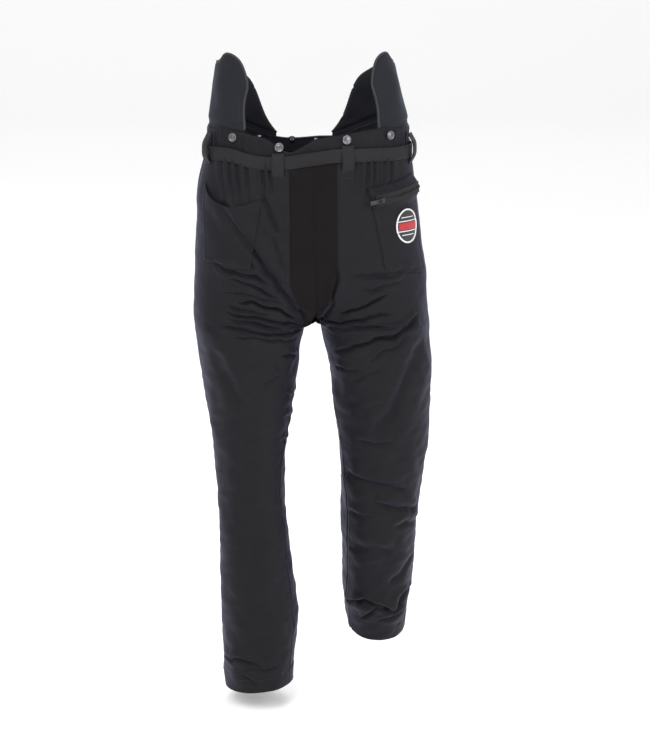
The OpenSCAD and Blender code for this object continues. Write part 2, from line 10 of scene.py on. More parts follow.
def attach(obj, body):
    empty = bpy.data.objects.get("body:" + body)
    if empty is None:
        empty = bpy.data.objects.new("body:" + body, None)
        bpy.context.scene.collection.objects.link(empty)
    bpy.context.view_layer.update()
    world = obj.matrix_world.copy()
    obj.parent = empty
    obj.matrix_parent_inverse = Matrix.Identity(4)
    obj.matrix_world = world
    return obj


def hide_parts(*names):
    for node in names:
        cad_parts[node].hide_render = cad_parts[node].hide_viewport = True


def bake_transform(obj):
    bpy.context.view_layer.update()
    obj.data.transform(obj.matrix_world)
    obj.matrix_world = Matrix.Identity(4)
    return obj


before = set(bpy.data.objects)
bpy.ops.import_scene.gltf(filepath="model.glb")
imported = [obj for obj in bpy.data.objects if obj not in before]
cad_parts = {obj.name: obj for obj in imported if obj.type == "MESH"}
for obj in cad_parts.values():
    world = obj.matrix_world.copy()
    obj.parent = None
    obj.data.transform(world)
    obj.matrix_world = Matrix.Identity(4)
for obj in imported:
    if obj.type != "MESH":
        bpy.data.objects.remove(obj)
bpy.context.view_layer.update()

# Lengths below are millimetres and angles degrees. make() turns millimetres into metres.
# Front is -Y, the wearer's left is +X.
MM = 0.001


# ---------------------------------------------------------------- small maths
def smooth(t):
    t = np.clip(t, 0, 1)
    return t * t * (3 - 2 * t)


def spow(v, p):
    return np.sign(v) * np.abs(v) ** p


def sind(a):
    return np.sin(np.radians(a))


def cosd(a):
    return np.cos(np.radians(a))


def unit(v):
    v = np.asarray(v, float)
    n = np.linalg.norm(v, axis=-1, keepdims=True)
    return v / np.maximum(n, 1e-9)


def column(table, c, z, soft=22):
    """A table's column at height z, with its corners rounded off over a few centimetres."""
    zs = [-row[0] for row in table]
    vs = [row[c] for row in table]
    z = np.asarray(z, float)
    total = 0
    for k in (-1, -0.5, 0, 0.5, 1):
        total = total + np.interp(-z + k * soft, zs, vs)
    return total / 5


def waves(p, pitch, seed, layers=2):
    """Smooth noise about -1..1 at points p, made of a few tilted sine waves."""
    r = random.Random(seed)
    p = np.asarray(p, float) / pitch
    total = np.zeros(len(p))
    norm = 0
    for layer in range(layers):
        for _ in range(5):
            d = unit(np.array([r.uniform(-1, 1) for _ in range(3)])) * (1.6 ** layer)
            warp = np.sin(p @ unit(np.array([r.uniform(-1, 1) for _ in range(3)])) * 3 + r.uniform(0,
                6)) * 0.6
            total += np.sin((p @ d) * 2 * math.pi + r.uniform(0, 6.28) + warp) * 0.62 ** layer
        norm += 5 * 0.62 ** layer * 0.45
    return total / norm


# ---------------------------------------------------------------- the pants' own measurements
WAIST_W, WAIST_D = 200, 124
CROTCH_Z = -345
BLEND_Z = -200
CROTCH_X = 10
SQUARE = 2.3
THIGH_SPLIT = -560

HIPS = [(0, 203, 125), (-15, 206, 128), (-50, 210, 132), (-105, 219, 143), (-190, 226, 145),
        (-250, 228, 145), (-300, 231, 142), (-345, 233, 137), (-380, 233, 131)]
LEGS = {
    -1: [(-150, 112, 0, 118, 133, 0), (-345, 111, 0, 121, 131, 0), (-372, 120, 0, 108, 127, 0),
         (-450, 119, 0, 95, 118, 0), (-600, 122, -2, 74, 96, 0), (-715, 119, -4, 66, 84, 0),
         (-800, 112, -2, 73, 86, 0), (-960, 103, 0, 80, 92, 0), (-1106, 104, 0, 71, 88, 0)],
    1: [(-150, 120, 0, 110, 133, 0), (-345, 128, 0, 118, 131, 0), (-372, 132, 0, 112, 127, 0),
        (-450, 147, 4, 103, 118, 3), (-600, 156, 24, 93, 98, 8), (-715, 153, 48, 81, 88, 12),
        (-800, 152, 72, 78, 88, 20), (-940, 154, 130, 72, 88, 23), (-1036, 158, 172, 63, 84, 22)],
}
HEM_Z = {-1: -1106, 1: -1031}


# ---------------------------------------------------------------- objects and materials
def make(name, verts, faces, smooth_shade=True, at=None):
    """A mesh object from points in millimetres."""
    mesh = bpy.data.meshes.new(name)
    mesh.from_pydata([tuple(v) for v in np.asarray(verts, float) * MM], [],
        [tuple(int(i) for i in f) for f in faces])
    mesh.validate()
    mesh.update()
    if smooth_shade:
        mesh.polygons.foreach_set("use_smooth", [True] * len(mesh.polygons))
    obj = bpy.data.objects.new(name, mesh)
    bpy.context.scene.collection.objects.link(obj)
    if at is not None and len(mesh.vertices) == len(at):
        attribute = mesh.attributes.new("cloth_at", "FLOAT_VECTOR", "POINT")
        attribute.data.foreach_set("vector", (np.asarray(at, float) * MM).astype(np.float32).ravel())
    return obj


def apply_modifiers(obj):
    graph = bpy.context.evaluated_depsgraph_get()
    mesh = bpy.data.meshes.new_from_object(obj.evaluated_get(graph), preserve_all_data_layers=True,
        depsgraph=graph)
    obj.modifiers.clear()
    obj.data = mesh
    return obj


def verts_of(obj):
    co = np.empty(len(obj.data.vertices) * 3)
    obj.data.vertices.foreach_get("co", co)
    return co.reshape(-1, 3) / MM


def set_verts(obj, co):
    obj.data.vertices.foreach_set("co", (np.asarray(co) * MM).ravel())
    obj.data.update()


def normals_of(obj):
    n = np.empty(len(obj.data.vertices) * 3)
    obj.data.vertex_normals.foreach_get("vector", n)
    return n.reshape(-1, 3)


def material(name, build):
    mat = bpy.data.materials.new(name)
    mat.use_nodes = True
    nodes, links = mat.node_tree.nodes, mat.node_tree.links
    shader = nodes["Principled BSDF"]
    build(nodes, links, shader)
    return mat


def node(nodes, kind, **values):
    n = nodes.new(kind)
    for key, value in values.items():
        if key in n.inputs:
            n.inputs[key].default_value = value
        else:
            setattr(n, key, value)
    return n


def fabric(name, dark, light, rough, sheen, sheen_tint, pitch=0.55, weave=0.10, crumple=0.25,
           spec=0.35, mottle=22.0):
    """Woven cloth: threads crossing at pitch mm, painted darker in the weave's hollows and lighter on its
    raised threads (painted shade and highlight), a mottled colour, faint creases and worn patches.
    """
    def build(nodes, links, shader):
        at = node(nodes, "ShaderNodeAttribute", attribute_name="cloth_at")
        spot = node(nodes, "ShaderNodeTexCoord")
        warp = node(nodes, "ShaderNodeTexWave", wave_type="BANDS", bands_direction="X",
            Scale=1000 / pitch / 6.2832)
        weft = node(nodes, "ShaderNodeTexWave", wave_type="BANDS", bands_direction="Y",
            Scale=1000 / pitch / 6.2832)
        for w in (warp, weft):
            w.inputs["Distortion"].default_value = 0.6
            w.inputs["Detail Scale"].default_value = 3.0
            links.new(at.outputs["Vector"], w.inputs["Vector"])
        threads = node(nodes, "ShaderNodeMath", operation="MAXIMUM")
        links.new(warp.outputs["Fac"], threads.inputs[0])
        links.new(weft.outputs["Fac"], threads.inputs[1])
        cloudy = node(nodes, "ShaderNodeTexNoise", Scale=mottle, Detail=5.0, Roughness=0.62)
        links.new(spot.outputs["Object"], cloudy.inputs["Vector"])
        fine = node(nodes, "ShaderNodeTexNoise", Scale=420.0, Detail=2.0)
        links.new(spot.outputs["Object"], fine.inputs["Vector"])
        blend_amount = node(nodes, "ShaderNodeMath", operation="MULTIPLY_ADD")
        links.new(cloudy.outputs["Fac"], blend_amount.inputs[0])
        blend_amount.inputs[1].default_value = 1.5
        blend_amount.inputs[2].default_value = -0.35
        shade = node(nodes, "ShaderNodeMix", data_type="RGBA")
        shade.inputs["A"].default_value = (*dark, 1)
        shade.inputs["B"].default_value = (*light, 1)
        links.new(blend_amount.outputs[0], shade.inputs["Factor"])
        # The colour is multiplied by the weave heights: painted shade in the hollows between threads and
        # painted highlight on the raised threads.
        weave_painted_shade = node(nodes, "ShaderNodeMix", data_type="RGBA", blend_type="MULTIPLY")
        weave_painted_shade.inputs["Factor"].default_value = 0.35
        links.new(shade.outputs["Result"], weave_painted_shade.inputs["A"])
        weave_shade_range = node(nodes, "ShaderNodeMapRange")
        weave_shade_range.inputs["To Min"].default_value = 0.7
        weave_shade_range.inputs["To Max"].default_value = 1.25
        links.new(threads.outputs[0], weave_shade_range.inputs["Value"])
        links.new(weave_shade_range.outputs["Result"], weave_painted_shade.inputs["B"])
        links.new(weave_painted_shade.outputs["Result"], shader.inputs["Base Color"])
        gloss = node(nodes, "ShaderNodeMapRange")
        gloss.inputs["To Min"].default_value = rough - 0.07
        gloss.inputs["To Max"].default_value = rough + 0.09
        links.new(cloudy.outputs["Fac"], gloss.inputs["Value"])
        links.new(gloss.outputs["Result"], shader.inputs["Roughness"])
        crumples = node(nodes, "ShaderNodeTexNoise", Scale=30.0, Detail=4.0, Roughness=0.55, Distortion=0.8)
        stretch = node(nodes, "ShaderNodeMapping")
        stretch.inputs["Scale"].default_value = (1.0, 1.0, 1.6)
        links.new(spot.outputs["Object"], stretch.inputs["Vector"])
        links.new(stretch.outputs["Vector"], crumples.inputs["Vector"])
        low = node(nodes, "ShaderNodeBump", Strength=crumple, Distance=0.006)
        links.new(crumples.outputs["Fac"], low.inputs["Height"])
        grain = node(nodes, "ShaderNodeBump", Strength=0.12, Distance=0.0004)
        links.new(fine.outputs["Fac"], grain.inputs["Height"])
        links.new(low.outputs["Normal"], grain.inputs["Normal"])
        high = node(nodes, "ShaderNodeBump", Strength=weave, Distance=0.0003)
        links.new(threads.outputs[0], high.inputs["Height"])
        links.new(grain.outputs["Normal"], high.inputs["Normal"])
        links.new(high.outputs["Normal"], shader.inputs["Normal"])
        shader.inputs["Sheen Weight"].default_value = sheen
        shader.inputs["Sheen Roughness"].default_value = 0.45
        shader.inputs["Sheen Tint"].default_value = (*sheen_tint, 1)
        shader.inputs["Specular IOR Level"].default_value = spec
    return material(name, build)


M_SHELL = fabric("shell_cloth_weave", (0.0060, 0.0054, 0.0064), (0.0096, 0.0088, 0.0104), 0.62, 0.13,
    (0.42, 0.44, 0.82),
                 spec=0.13)
M_PANEL = fabric("stretch_cloth_knit", (0.0052, 0.0041, 0.0046), (0.0088, 0.0070, 0.0078), 0.85, 0.08,
    (0.45, 0.40, 0.42),
                 pitch=0.8, weave=0.25, crumple=0.12, spec=0.10)


# ---------------------------------------------------------------- the cloth's grid
COLS = (9, 45, 54)          # stretch panel half, front, seat
N_COL = sum(COLS)


def hip_ring(u, z):
    a, b = column(HIPS, 1, z), column(HIPS, 2, z)
    return a * sind(u) ** (2 / SQUARE), -b * spow(cosd(u), 2 / SQUARE)


def leg_ring(side, u, z):
    table = LEGS[side]
    a, b = column(table, 3, z), column(table, 4, z)
    tilt = column(table, 5, z)
    turned = 2 * u + (38 * smooth((-z - 430) / 260) if side < 0 else 26 * smooth((-z - 400) / 330))
    along = -b * spow(sind(turned), 2 / SQUARE)
    level = 6.5 * smooth((-z - 990) / 110) * cosd(turned) if side < 0 else 0
    return (column(table, 1, z) - a * spow(cosd(turned), 2 / SQUARE),
            column(table, 2, z) + along * cosd(tilt), z + along * sind(tilt) + level)


def crotch_share(z):
    t = np.clip((BLEND_Z - z) / (BLEND_Z - CROTCH_Z), 0, 1)
    return 1 - (1 - t ** 2.2) ** 0.62


def stretch_half(z):
    return 47 - 30 * smooth((-246 - z) / 90)


def row_curve(side, z_mid, z_side, u):
    """One row of the cloth round one side: u 0 at the front centre or inseam, 90 at the side."""
    near = np.exp(-(u / 24) ** 2) + np.exp(-((180 - u) / 24) ** 2)
    z = z_side + (z_mid - z_side) * near
    lx, ly, lz = leg_ring(side, u, z)
    if z_side < CROTCH_Z:
        below = CROTCH_Z - z
        lx = lx + 13 * np.exp(-below / 45) * (1 - np.exp(-below / 3)) * near
        return np.stack([lx * side, ly, lz], 1)
    w = crotch_share(z)
    hx, hy = hip_ring(u, z)
    fuller = 8 * smooth((-z - 180) / 80) if side > 0 else 9 * np.exp(-((z + 72) / 42) ** 2)
    hx = hx + fuller * smooth(hx / 200)
    x = (1 - w) * hx + w * lx
    inner = w * (column(LEGS[side], 1, z) - column(LEGS[side], 3, z))
    x = x - inner * (1 - smooth(x / 100))
    shift = CROTCH_X * smooth((-z - 150) / 195) * (1 - smooth(x / 160))
    return np.stack([x * side + shift, (1 - w) * hy + w * ly, z], 1)


def resample(curve, sections, counts):
    """Points at even steps of arc length inside each section; sections are arc lengths."""
    seg = np.linalg.norm(np.diff(curve, axis=0), axis=1)
    s = np.concatenate([[0], np.cumsum(seg)])
    stops = [0] + list(sections) + [s[-1]]
    at = []
    for a, b, n in zip(stops[:-1], stops[1:], counts):
        at.extend(np.linspace(a, b, n, endpoint=False))
    at.append(s[-1])
    at = np.array(at)
    return np.stack([np.interp(at, s, curve[:, k]) for k in range(3)], 1), at, s


def build_side(side):
    """Grid of points [row][column][xyz], arc lengths, and the index of the crotch row."""
    u = np.linspace(0, 180, 1081)
    top = [(z, z) for z in np.linspace(-6, BLEND_Z, 37)]
    low = []
    for s in np.linspace(0, 1, 30)[1:]:
        dense = 1 - (1 - s) ** 1.9
        drop = BLEND_Z - CROTCH_Z
        low.append((BLEND_Z - drop * dense, BLEND_Z - drop * s))
    leg = [(z, z) for z in np.linspace(CROTCH_Z, HEM_Z[side], 140)[1:]]
    rows, arcs = [], []
    for z_mid, z_side in top + low + leg:
        curve = row_curve(side, z_mid, z_side, u)
        seg = np.concatenate([[0], np.cumsum(np.linalg.norm(np.diff(curve, axis=0), axis=1))])
        half_at = np.interp(90, u, seg)
        if z_side >= CROTCH_Z:
            width = np.interp(stretch_half(z_mid), np.abs(curve[:540, 0]), seg[:540])
            width = max(width, 17)
        else:
            share = smooth((CROTCH_Z - z_side) / 110)
            width = 17 * (1 - share) + half_at * COLS[0] / (COLS[0] + COLS[1]) * share
        points, at, _ = resample(curve, [width, half_at], COLS)
        rows.append(points)
        arcs.append(at)
    return np.array(rows), np.array(arcs), len(top + low) - 1


grids = {side: build_side(side) for side in (-1, 1)}

# Face regions, kept as material indices while the mesh is subdivided
REGIONS = ["stretch_panel", "front_left", "front_right", "seat_left", "seat_right", "shin_front_left",
           "shin_front_right", "shin_back_left", "shin_back_right"]


def build_cloth():
    """One welded mesh of the whole garment. Left and right meet at the centre lines above the crotch."""
    verts, at, near, faces, region = [], [], [], [], []
    index = {}
    for side in (1, -1):
        grid, arcs, crotch = grids[side]
        n_row = len(grid)
        down = np.zeros(N_COL + 1)
        for i in range(n_row):
            if i:
                down = down + np.linalg.norm(grid[i] - grid[i - 1], axis=1)
            for j in range(N_COL + 1):
                key = (side, i, j)
                centre = j in (0, N_COL) and i <= crotch
                if i == crotch and j in (0, N_COL):
                    share = ("crotch",)
                elif centre:
                    share = (0, i, j)
                elif j == N_COL:
                    share = (side, i, 0)
                else:
                    share = key
                if share in index:
                    index[key] = index[share]
                    continue
                index[key] = index[share] = len(verts)
                verts.append(grid[i][j])
                at.append((arcs[i][j] * side + (900 if side < 0 else 0), down[j], 0))
                ends = [0, COLS[0], COLS[0] + COLS[1], N_COL]
                if i > crotch:
                    ends = [0, ends[2], N_COL]
                gaps = [arcs[i][j] - arcs[i][e] for e in ends]
                near.append(min(60, min(abs(gap) for gap in gaps)))
        for i in range(n_row - 1):
            for j in range(N_COL):
                quad = [index[(side, i, j)], index[(side, i + 1, j)], index[(side, i + 1, j + 1)],
                    index[(side, i, j + 1)]]
                if side < 0:
                    quad.reverse()
                if len(set(quad)) < 4:
                    quad = list(dict.fromkeys(quad))
                if len(quad) < 3:
                    continue
                faces.append(quad)
                z = (grid[i][j][2] + grid[i + 1][j][2]) / 2
                leg = "left" if side > 0 else "right"
                if i < crotch and j < COLS[0]:
                    name = "stretch_panel"
                elif i < thigh_row[side]:
                    name = ("front_" if j < COLS[0] + COLS[1] else "seat_") + leg
                else:
                    name = ("shin_front_" if j < COLS[0] + COLS[1] else "shin_back_") + leg
                region.append(REGIONS.index(name))
    return np.array(verts), faces, region, at, near


thigh_row = {side: int(np.argmin(np.abs(grids[side][0][:, COLS[0] + COLS[1],
    2] - THIGH_SPLIT))) for side in (-1, 1)}
base_verts, base_faces, base_region, base_at, base_near = build_cloth()
cloth = make("cloth_base", base_verts, base_faces, at=base_at)
cloth.data.polygons.foreach_set("material_index", base_region)
for _ in REGIONS:
    cloth.data.materials.append(None)

subdivide = cloth.modifiers.new("fine", "SUBSURF")
subdivide.levels = subdivide.render_levels = 1
subdivide.boundary_smooth = "PRESERVE_CORNERS"
near_layer = cloth.data.attributes.new("seam_near", "FLOAT", "POINT")
near_layer.data.foreach_set("value", np.array(base_near, np.float32))
apply_modifiers(cloth)


# ---------------------------------------------------------------- folds sculpted into the cloth
# Each fold: points (x, z) seen from the front, width of the valley, depth, height of the ridge above it.
# Many of the points were worked out by a separate script from places in the reference view.
FRONT_FOLDS = [
    # from the right hip down to the crotch, the long one
    ([(-177, -93), (-143, -150), (-100, -204), (-68, -250), (-46, -280), (-14, -324)], 12, 10, 6),
    ([(-100, -73), (-84, -115), (-71, -151)], 10, 4, 3),
    ([(-136, -191), (-123, -207), (-113, -222)], 6, 3, 2),
    ([(-84, -150), (-70, -200), (-58, -236)], 13, 3, 3),
    # fanning out of the crotch on the right thigh
    ([(-191, -210), (-172, -222), (-136, -232), (-110, -235), (-92, -248)], 8, 6, 5),
    ([(-165, -239), (-136, -246), (-105, -257), (-70, -279)], 8, 5, 4),
    ([(-174, -269), (-137, -271), (-106, -276), (-68, -286)], 6, 3, 3),
    ([(-146, -290), (-119, -285), (-92, -294), (-61, -302), (-37, -323)], 7, 6, 5),
    ([(-168, -294), (-137, -303), (-106, -310), (-86, -310)], 6, 4, 3),
    ([(-172, -308), (-137, -315), (-92, -320), (-48, -332), (-16, -338)], 6, 5, 4),
    ([(-163, -322), (-123, -327), (-83, -339), (-48, -342), (-16, -342)], 5, 4, 3),
    ([(-181, -336), (-137, -341), (-101, -350), (-52, -352), (-21, -347)], 6, 6, 4),
    ([(-152, -357), (-119, -355), (-88, -363), (-38, -366)], 7, 5, 4),
    ([(-206, -335), (-181, -354), (-155, -370)], 16, 3, 2),
    # soft hollows down the straight leg, and nicks along its inner edge
    ([(-197, -388), (-172, -436), (-145, -492)], 24, 5, 3),
    ([(-156, -418), (-119, -410)], 14, 2, 1),
    ([(-98, -452), (-62, -442)], 16, 5, 3),
    ([(-52, -484), (-24, -492)], 8, 3, 3),
    ([(-55, -532), (-28, -540)], 9, 2, 3),
    ([(-58, -580), (-32, -590)], 8, 3, 3),
    ([(-60, -396), (-30, -404)], 8, 5, 4),
    ([(-150, -620), (-128, -760), (-120, -880)], 30, 3, 2),
    # left side
    ([(141, -229), (172, -228), (208, -231)], 7, 4, 3),
    ([(67, -237), (116, -235), (152, -238), (174, -232)], 11, 5, 3),
    ([(99, -268), (135, -259), (175, -251)], 9, 4, 3),
    ([(52, -314), (86, -304), (117, -288), (146, -275)], 8, 6, 5),
    ([(17, -329), (55, -334), (91, -326), (131, -315), (154, -316)], 6, 5, 4),
    ([(24, -343), (64, -344), (109, -340), (163, -341)], 6, 5, 4),
    ([(47, -395), (78, -382), (119, -364), (164, -356), (186, -344), (209, -322)], 10, 8, 6),
    ([(113, -409), (138, -391), (169, -375), (192, -357)], 8, 5, 4),
    # the long hollow running down and in across the bent leg
    ([(219, -372), (191, -440), (163, -512), (126, -574)], 27, 8, 4),
    ([(50, -427), (88, -430)], 8, 4, 3),
    ([(78, -458), (105, -440), (132, -428)], 9, 4, 3),
    ([(104, -513), (146, -494)], 14, 3, 2),
    ([(45, -220), (41, -260), (38, -292), (28, -319), (16, -332)], 7, 5, 4),
    # folds over the bent knee and shin, each only part of the way across
    ([(90, -584), (126, -592), (164, -586)], 15, 6, 4),
    ([(70, -664), (107, -675), (140, -682), (190, -693)], 19, 9, 4),
    ([(128, -724), (170, -734), (218, -742)], 17, 8, 4),
    ([(176, -780), (202, -771), (234, -778)], 15, 5, 3),
    ([(80, -748), (104, -757), (128, -756)], 12, 3, 2),
    ([(88, -836), (126, -829), (172, -838)], 24, 6, 3),
    ([(224, -858), (196, -892), (170, -918)], 18, 6, 3),
    ([(86, -974), (117, -959), (152, -966), (182, -988)], 10, 10, 7),
    ([(117, -1006), (146, -975), (178, -984)], 8, 6, 4),
    ([(180, -992), (205, -946), (228, -946)], 10, 8, 5),
    ([(150, -1012), (190, -1000), (214, -985)], 8, 5, 4),
    # hem of the straight leg
    ([(-178, -1046), (-147, -1035), (-124, -1044), (-102, -1056)], 9, 7, 5),
    ([(-138, -1056), (-102, -1060), (-70, -1052)], 8, 5, 4),
    ([(-140, -1070), (-112, -1094)], 9, 4, 3),
]
GATHERS = [-176, -160, -147, -129, -98, -84, 84, 92, 108, 122, 133, 141, 156]
BACK_FOLDS = [
    ([(-190, -250), (-140, -285), (-80, -305), (-20, -335)], 10, 7, 5),
    ([(195, -245), (140, -278), (85, -300), (30, -332)], 10, 7, 5),
    ([(-205, -310), (-140, -335), (-60, -345)], 9, 6, 4),
    ([(205, -305), (150, -330), (70, -348)], 9, 6, 4),
    ([(-200, -372), (-130, -385), (-50, -372)], 9, 6, 4),
    ([(210, -366), (140, -384), (60, -378)], 9, 6, 4),
    ([(-180, -430), (-110, -446), (-50, -430)], 12, 5, 3),
    ([(215, -440), (150, -452), (70, -440)], 12, 5, 3),
    ([(-180, -660), (-120, -672), (-60, -655)], 9, 6, 4),
    ([(-182, -706), (-115, -712), (-55, -700)], 8, 7, 5),
    ([(-180, -752), (-110, -745), (-50, -756)], 9, 6, 4),
    ([(80, -640), (150, -660), (222, -645)], 9, 6, 4),
    ([(76, -700), (150, -706), (228, -690)], 8, 7, 5),
    ([(80, -765), (160, -752), (226, -760)], 9, 6, 4),
    ([(86, -850), (150, -868), (215, -850)], 11, 5, 4),
    ([(-160, -900), (-105, -915), (-45, -900)], 14, 4, 3),
    ([(-160, -1030), (-100, -1044), (-50, -1030)], 9, 5, 4),
    ([(-60, -120), (-30, -180), (-12, -240)], 12, 4, 2),
    ([(70, -110), (38, -170), (14, -235)], 12, 4, 2),
]


def along_line(x, z, points):
    """Signed distance above a polyline, and the share of its length, for every (x, z)."""
    pts = np.array(points, float)
    seg = np.linalg.norm(np.diff(pts, axis=0), axis=1)
    total = seg.sum()
    best = np.full(len(x), 1e9)
    signed = np.zeros(len(x))
    share = np.zeros(len(x))
    run = 0
    for a, b, length in zip(pts[:-1], pts[1:], seg):
        d = (b - a) / length
        t = (x - a[0]) * d[0] + (z - a[1]) * d[1]
        tc = np.clip(t, 0, length)
        px, pz = x - (a[0] + d[0] * tc), z - (a[1] + d[1] * tc)
        dist = np.hypot(px, pz)
        side = np.sign(-d[1] * px + d[0] * pz) * (1 if d[0] >= 0 else -1)
        closer = dist < best
        best = np.where(closer, dist, best)
        signed = np.where(closer, side * dist, signed)
        share = np.where(closer, (run + tc) / total, share)
        run += length
    return signed, share, best


def fold_profile(co, points, width, depth, ridge, wobble):
    """Displacement of one fold: a narrow valley with a rounded roll of cloth above it."""
    x, z = co[:, 0] + wobble[0], co[:, 2] + wobble[1]
    signed, share, dist = along_line(x, z, points)
    ends = np.clip(np.minimum(share, 1 - share) / 0.28, 0, 1)
    reach = np.sqrt(ends * (2 - ends)) * 0.92 + 0.08 * (dist < width)
    off_end = np.exp(-np.maximum(0, dist - np.abs(signed)) ** 2 / (width * 1.2) ** 2)
    w = width * (0.55 + 0.45 * reach)
    valley = -depth * np.exp(-(signed / (0.42 * w)) ** 2)
    roll = ridge * np.exp(-((signed - 1.15 * w) / (0.85 * w)) ** 2)
    under = 0.45 * ridge * np.exp(-((signed + 1.3 * w) / (0.9 * w)) ** 2)
    return (valley + roll + under) * reach * off_end


def sculpt(obj):
    co, n = verts_of(obj), normals_of(obj)
    near = np.empty(len(co))
    obj.data.attributes["seam_near"].data.foreach_get("value", near)
    wobble = (waves(co, 46, 3) * 2.6, waves(co, 38, 4) * 2.2)
    front = smooth((-n[:, 1] + 0.15) / 0.5)
    back = smooth((n[:, 1] + 0.15) / 0.5)
    move = np.zeros(len(co))
    for points, width, depth, ridge in FRONT_FOLDS:
        strong = 1.3 if points[0][1] > -400 and width < 12 else 1
        move += fold_profile(co, points, width, depth * strong, ridge * strong, wobble) * front
    for points, width, depth, ridge in BACK_FOLDS:
        move += fold_profile(co, points, width, depth, ridge, wobble) * back
    # small pleats under the gathered waistband, all the way round
    fade = smooth((co[:, 2] + 112) / 80)
    for x in GATHERS:
        gap = co[:, 0] - x - (co[:, 2] + 20) * 0.03 * np.sign(x)
        move += (2.2 * np.exp(-((np.abs(gap) - 6) / 4) ** 2) - 4.4 * np.exp(-(gap / 3.6) ** 2)) * fade * front
    around = np.degrees(np.arctan2(co[:, 1], co[:, 0]))
    pleats = np.sin(np.radians(around * 31) + 1.5 * np.sin(np.radians(around * 7)))
    move += 1.5 * pleats * fade * smooth((co[:, 1] + 40) / 60)
    # broad drape and fine handling creases
    fixed = smooth((-co[:, 2] - 25) / 60)
    legs = smooth((-co[:, 2] - 330) / 120)
    move += fixed * waves(co * np.array([1, 1, 0.55]), 120, 11) * 2.2
    move += fixed * waves(co * np.array([1, 1, 1.4]), 52, 12) * (0.5 + 0.8 * legs)
    # seams sink between the panels
    move -= 1.5 * np.exp(-(near / 2.6) ** 2)
    move += 0.7 * np.exp(-((near - 5.5) / 2.5) ** 2)
    co = co + n * move[:, None]
    set_verts(obj, co)


sculpt(cloth)
final = verts_of(cloth)
final_n = normals_of(cloth)
tree = BVHTree.FromPolygons([tuple(v) for v in final], [tuple(p.vertices) for p in cloth.data.polygons])


# ---------------------------------------------------------------- cutting the panels
CLOTH_TH = 1.0


def panel(name, regions, mat, body_a, body_b=None, replaces=()):
    """The faces of some regions as their own cloth piece, with thickness and the whole garment's normals."""
    wanted = {REGIONS.index(r) for r in regions}
    polys = [tuple(p.vertices) for p in cloth.data.polygons if p.material_index in wanted]
    used = sorted({i for p in polys for i in p})
    local = {g: k for k, g in enumerate(used)}
    outer = final[used]
    n = final_n[used]
    count = len(used)
    quads = [tuple(local[i] for i in p) for p in polys]
    edges = {}
    for q in quads:
        for a, b in zip(q, q[1:] + q[:1]):
            edges[(a, b)] = True
    rim = [(b, a, a + count, b + count) for a, b in edges if (b, a) not in edges]
    inside = [tuple(i + count for i in reversed(q)) for q in quads]
    layer = np.empty(len(cloth.data.vertices) * 3)
    cloth.data.attributes["cloth_at"].data.foreach_get("vector", layer)
    at = layer.reshape(-1, 3)[used] / MM
    obj = make(name, np.vstack([outer, outer - n * CLOTH_TH]), quads + inside + rim, at=np.vstack([at, at]))
    all_n = np.vstack([n, -n])
    loops = []
    for k, poly in enumerate(obj.data.polygons):
        if k >= len(quads) * 2:
            loops.extend([poly.normal[:]] * len(poly.vertices))
        else:
            loops.extend([tuple(all_n[i]) for i in poly.vertices])
    obj.data.normals_split_custom_set(loops)
    obj.data.materials.append(mat)
    if body_b:
        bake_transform(obj)
    else:
        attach(obj, body_a)
    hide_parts(*replaces)
    return obj


panel("stretch_front_cloth", ["stretch_panel"], M_PANEL, "hips",
    replaces=["stretch_front_panel"])
for leg in ("left", "right"):
    panel(f"front_cloth_{leg}", [f"front_{leg}"], M_SHELL, "hips", f"thigh_{leg}",
          [f"front_hip_panel_{leg}", f"thigh_front_panel_{leg}", f"groin_fabric_{leg}"])
    panel(f"seat_cloth_{leg}", [f"seat_{leg}"], M_SHELL, "hips", f"thigh_{leg}",
          [f"seat_panel_{leg}", f"thigh_back_panel_{leg}"])
    panel(f"shin_front_cloth_{leg}", [f"shin_front_{leg}"], M_SHELL, f"thigh_{leg}",
        f"shin_{leg}",
          [f"shin_front_panel_{leg}", f"knee_fabric_{leg}"])
    panel(f"shin_back_cloth_{leg}", [f"shin_back_{leg}"], M_SHELL, f"thigh_{leg}",
        f"shin_{leg}",
          [f"shin_back_panel_{leg}"])
bpy.data.objects.remove(cloth)


# ---------------------------------------------------------------- more materials
M_FLAP = fabric("kidney_cover_knit", (0.0080, 0.0084, 0.0115), (0.0120, 0.0126, 0.0168), 0.72, 0.12,
    (0.45, 0.5, 0.75), pitch=0.7,
                weave=0.18, crumple=0.10, spec=0.17)
M_LINING = fabric("lining_navy", (0.0060, 0.0065, 0.0100), (0.0100, 0.0105, 0.0155), 0.60, 0.10,
    (0.4, 0.45, 0.75), crumple=0.3,
                   spec=0.17)
M_ELASTIC = fabric("ribbed_elastic", (0.010, 0.010, 0.012), (0.016, 0.016, 0.018), 0.75, 0.08,
    (0.5, 0.5, 0.55), pitch=1.6,
                   weave=0.6, crumple=0.05)
M_WEBBING = fabric("webbing_twill", (0.0092, 0.0088, 0.0102), (0.0148, 0.0142, 0.0160), 0.66, 0.10,
    (0.5, 0.5, 0.6), pitch=1.1,
                   weave=0.55, crumple=0.08, spec=0.18)
M_PIPING = fabric("binding_tape", (0.024, 0.024, 0.028), (0.036, 0.036, 0.041), 0.58, 0.16, (0.6, 0.6, 0.7),
    pitch=0.7,
                  weave=0.3, crumple=0.1, spec=0.18)
M_FOAM = fabric("foam_cells", (0.22, 0.22, 0.24), (0.34, 0.34, 0.36), 0.9, 0.1, (1, 1, 1), pitch=1.2,
    weave=0.1, crumple=0.3)
M_THREAD = fabric("sewing_thread", (0.008, 0.008, 0.009), (0.014, 0.014, 0.016), 0.5, 0.10, (0.6, 0.6, 0.7),
    pitch=0.3, crumple=0.0)
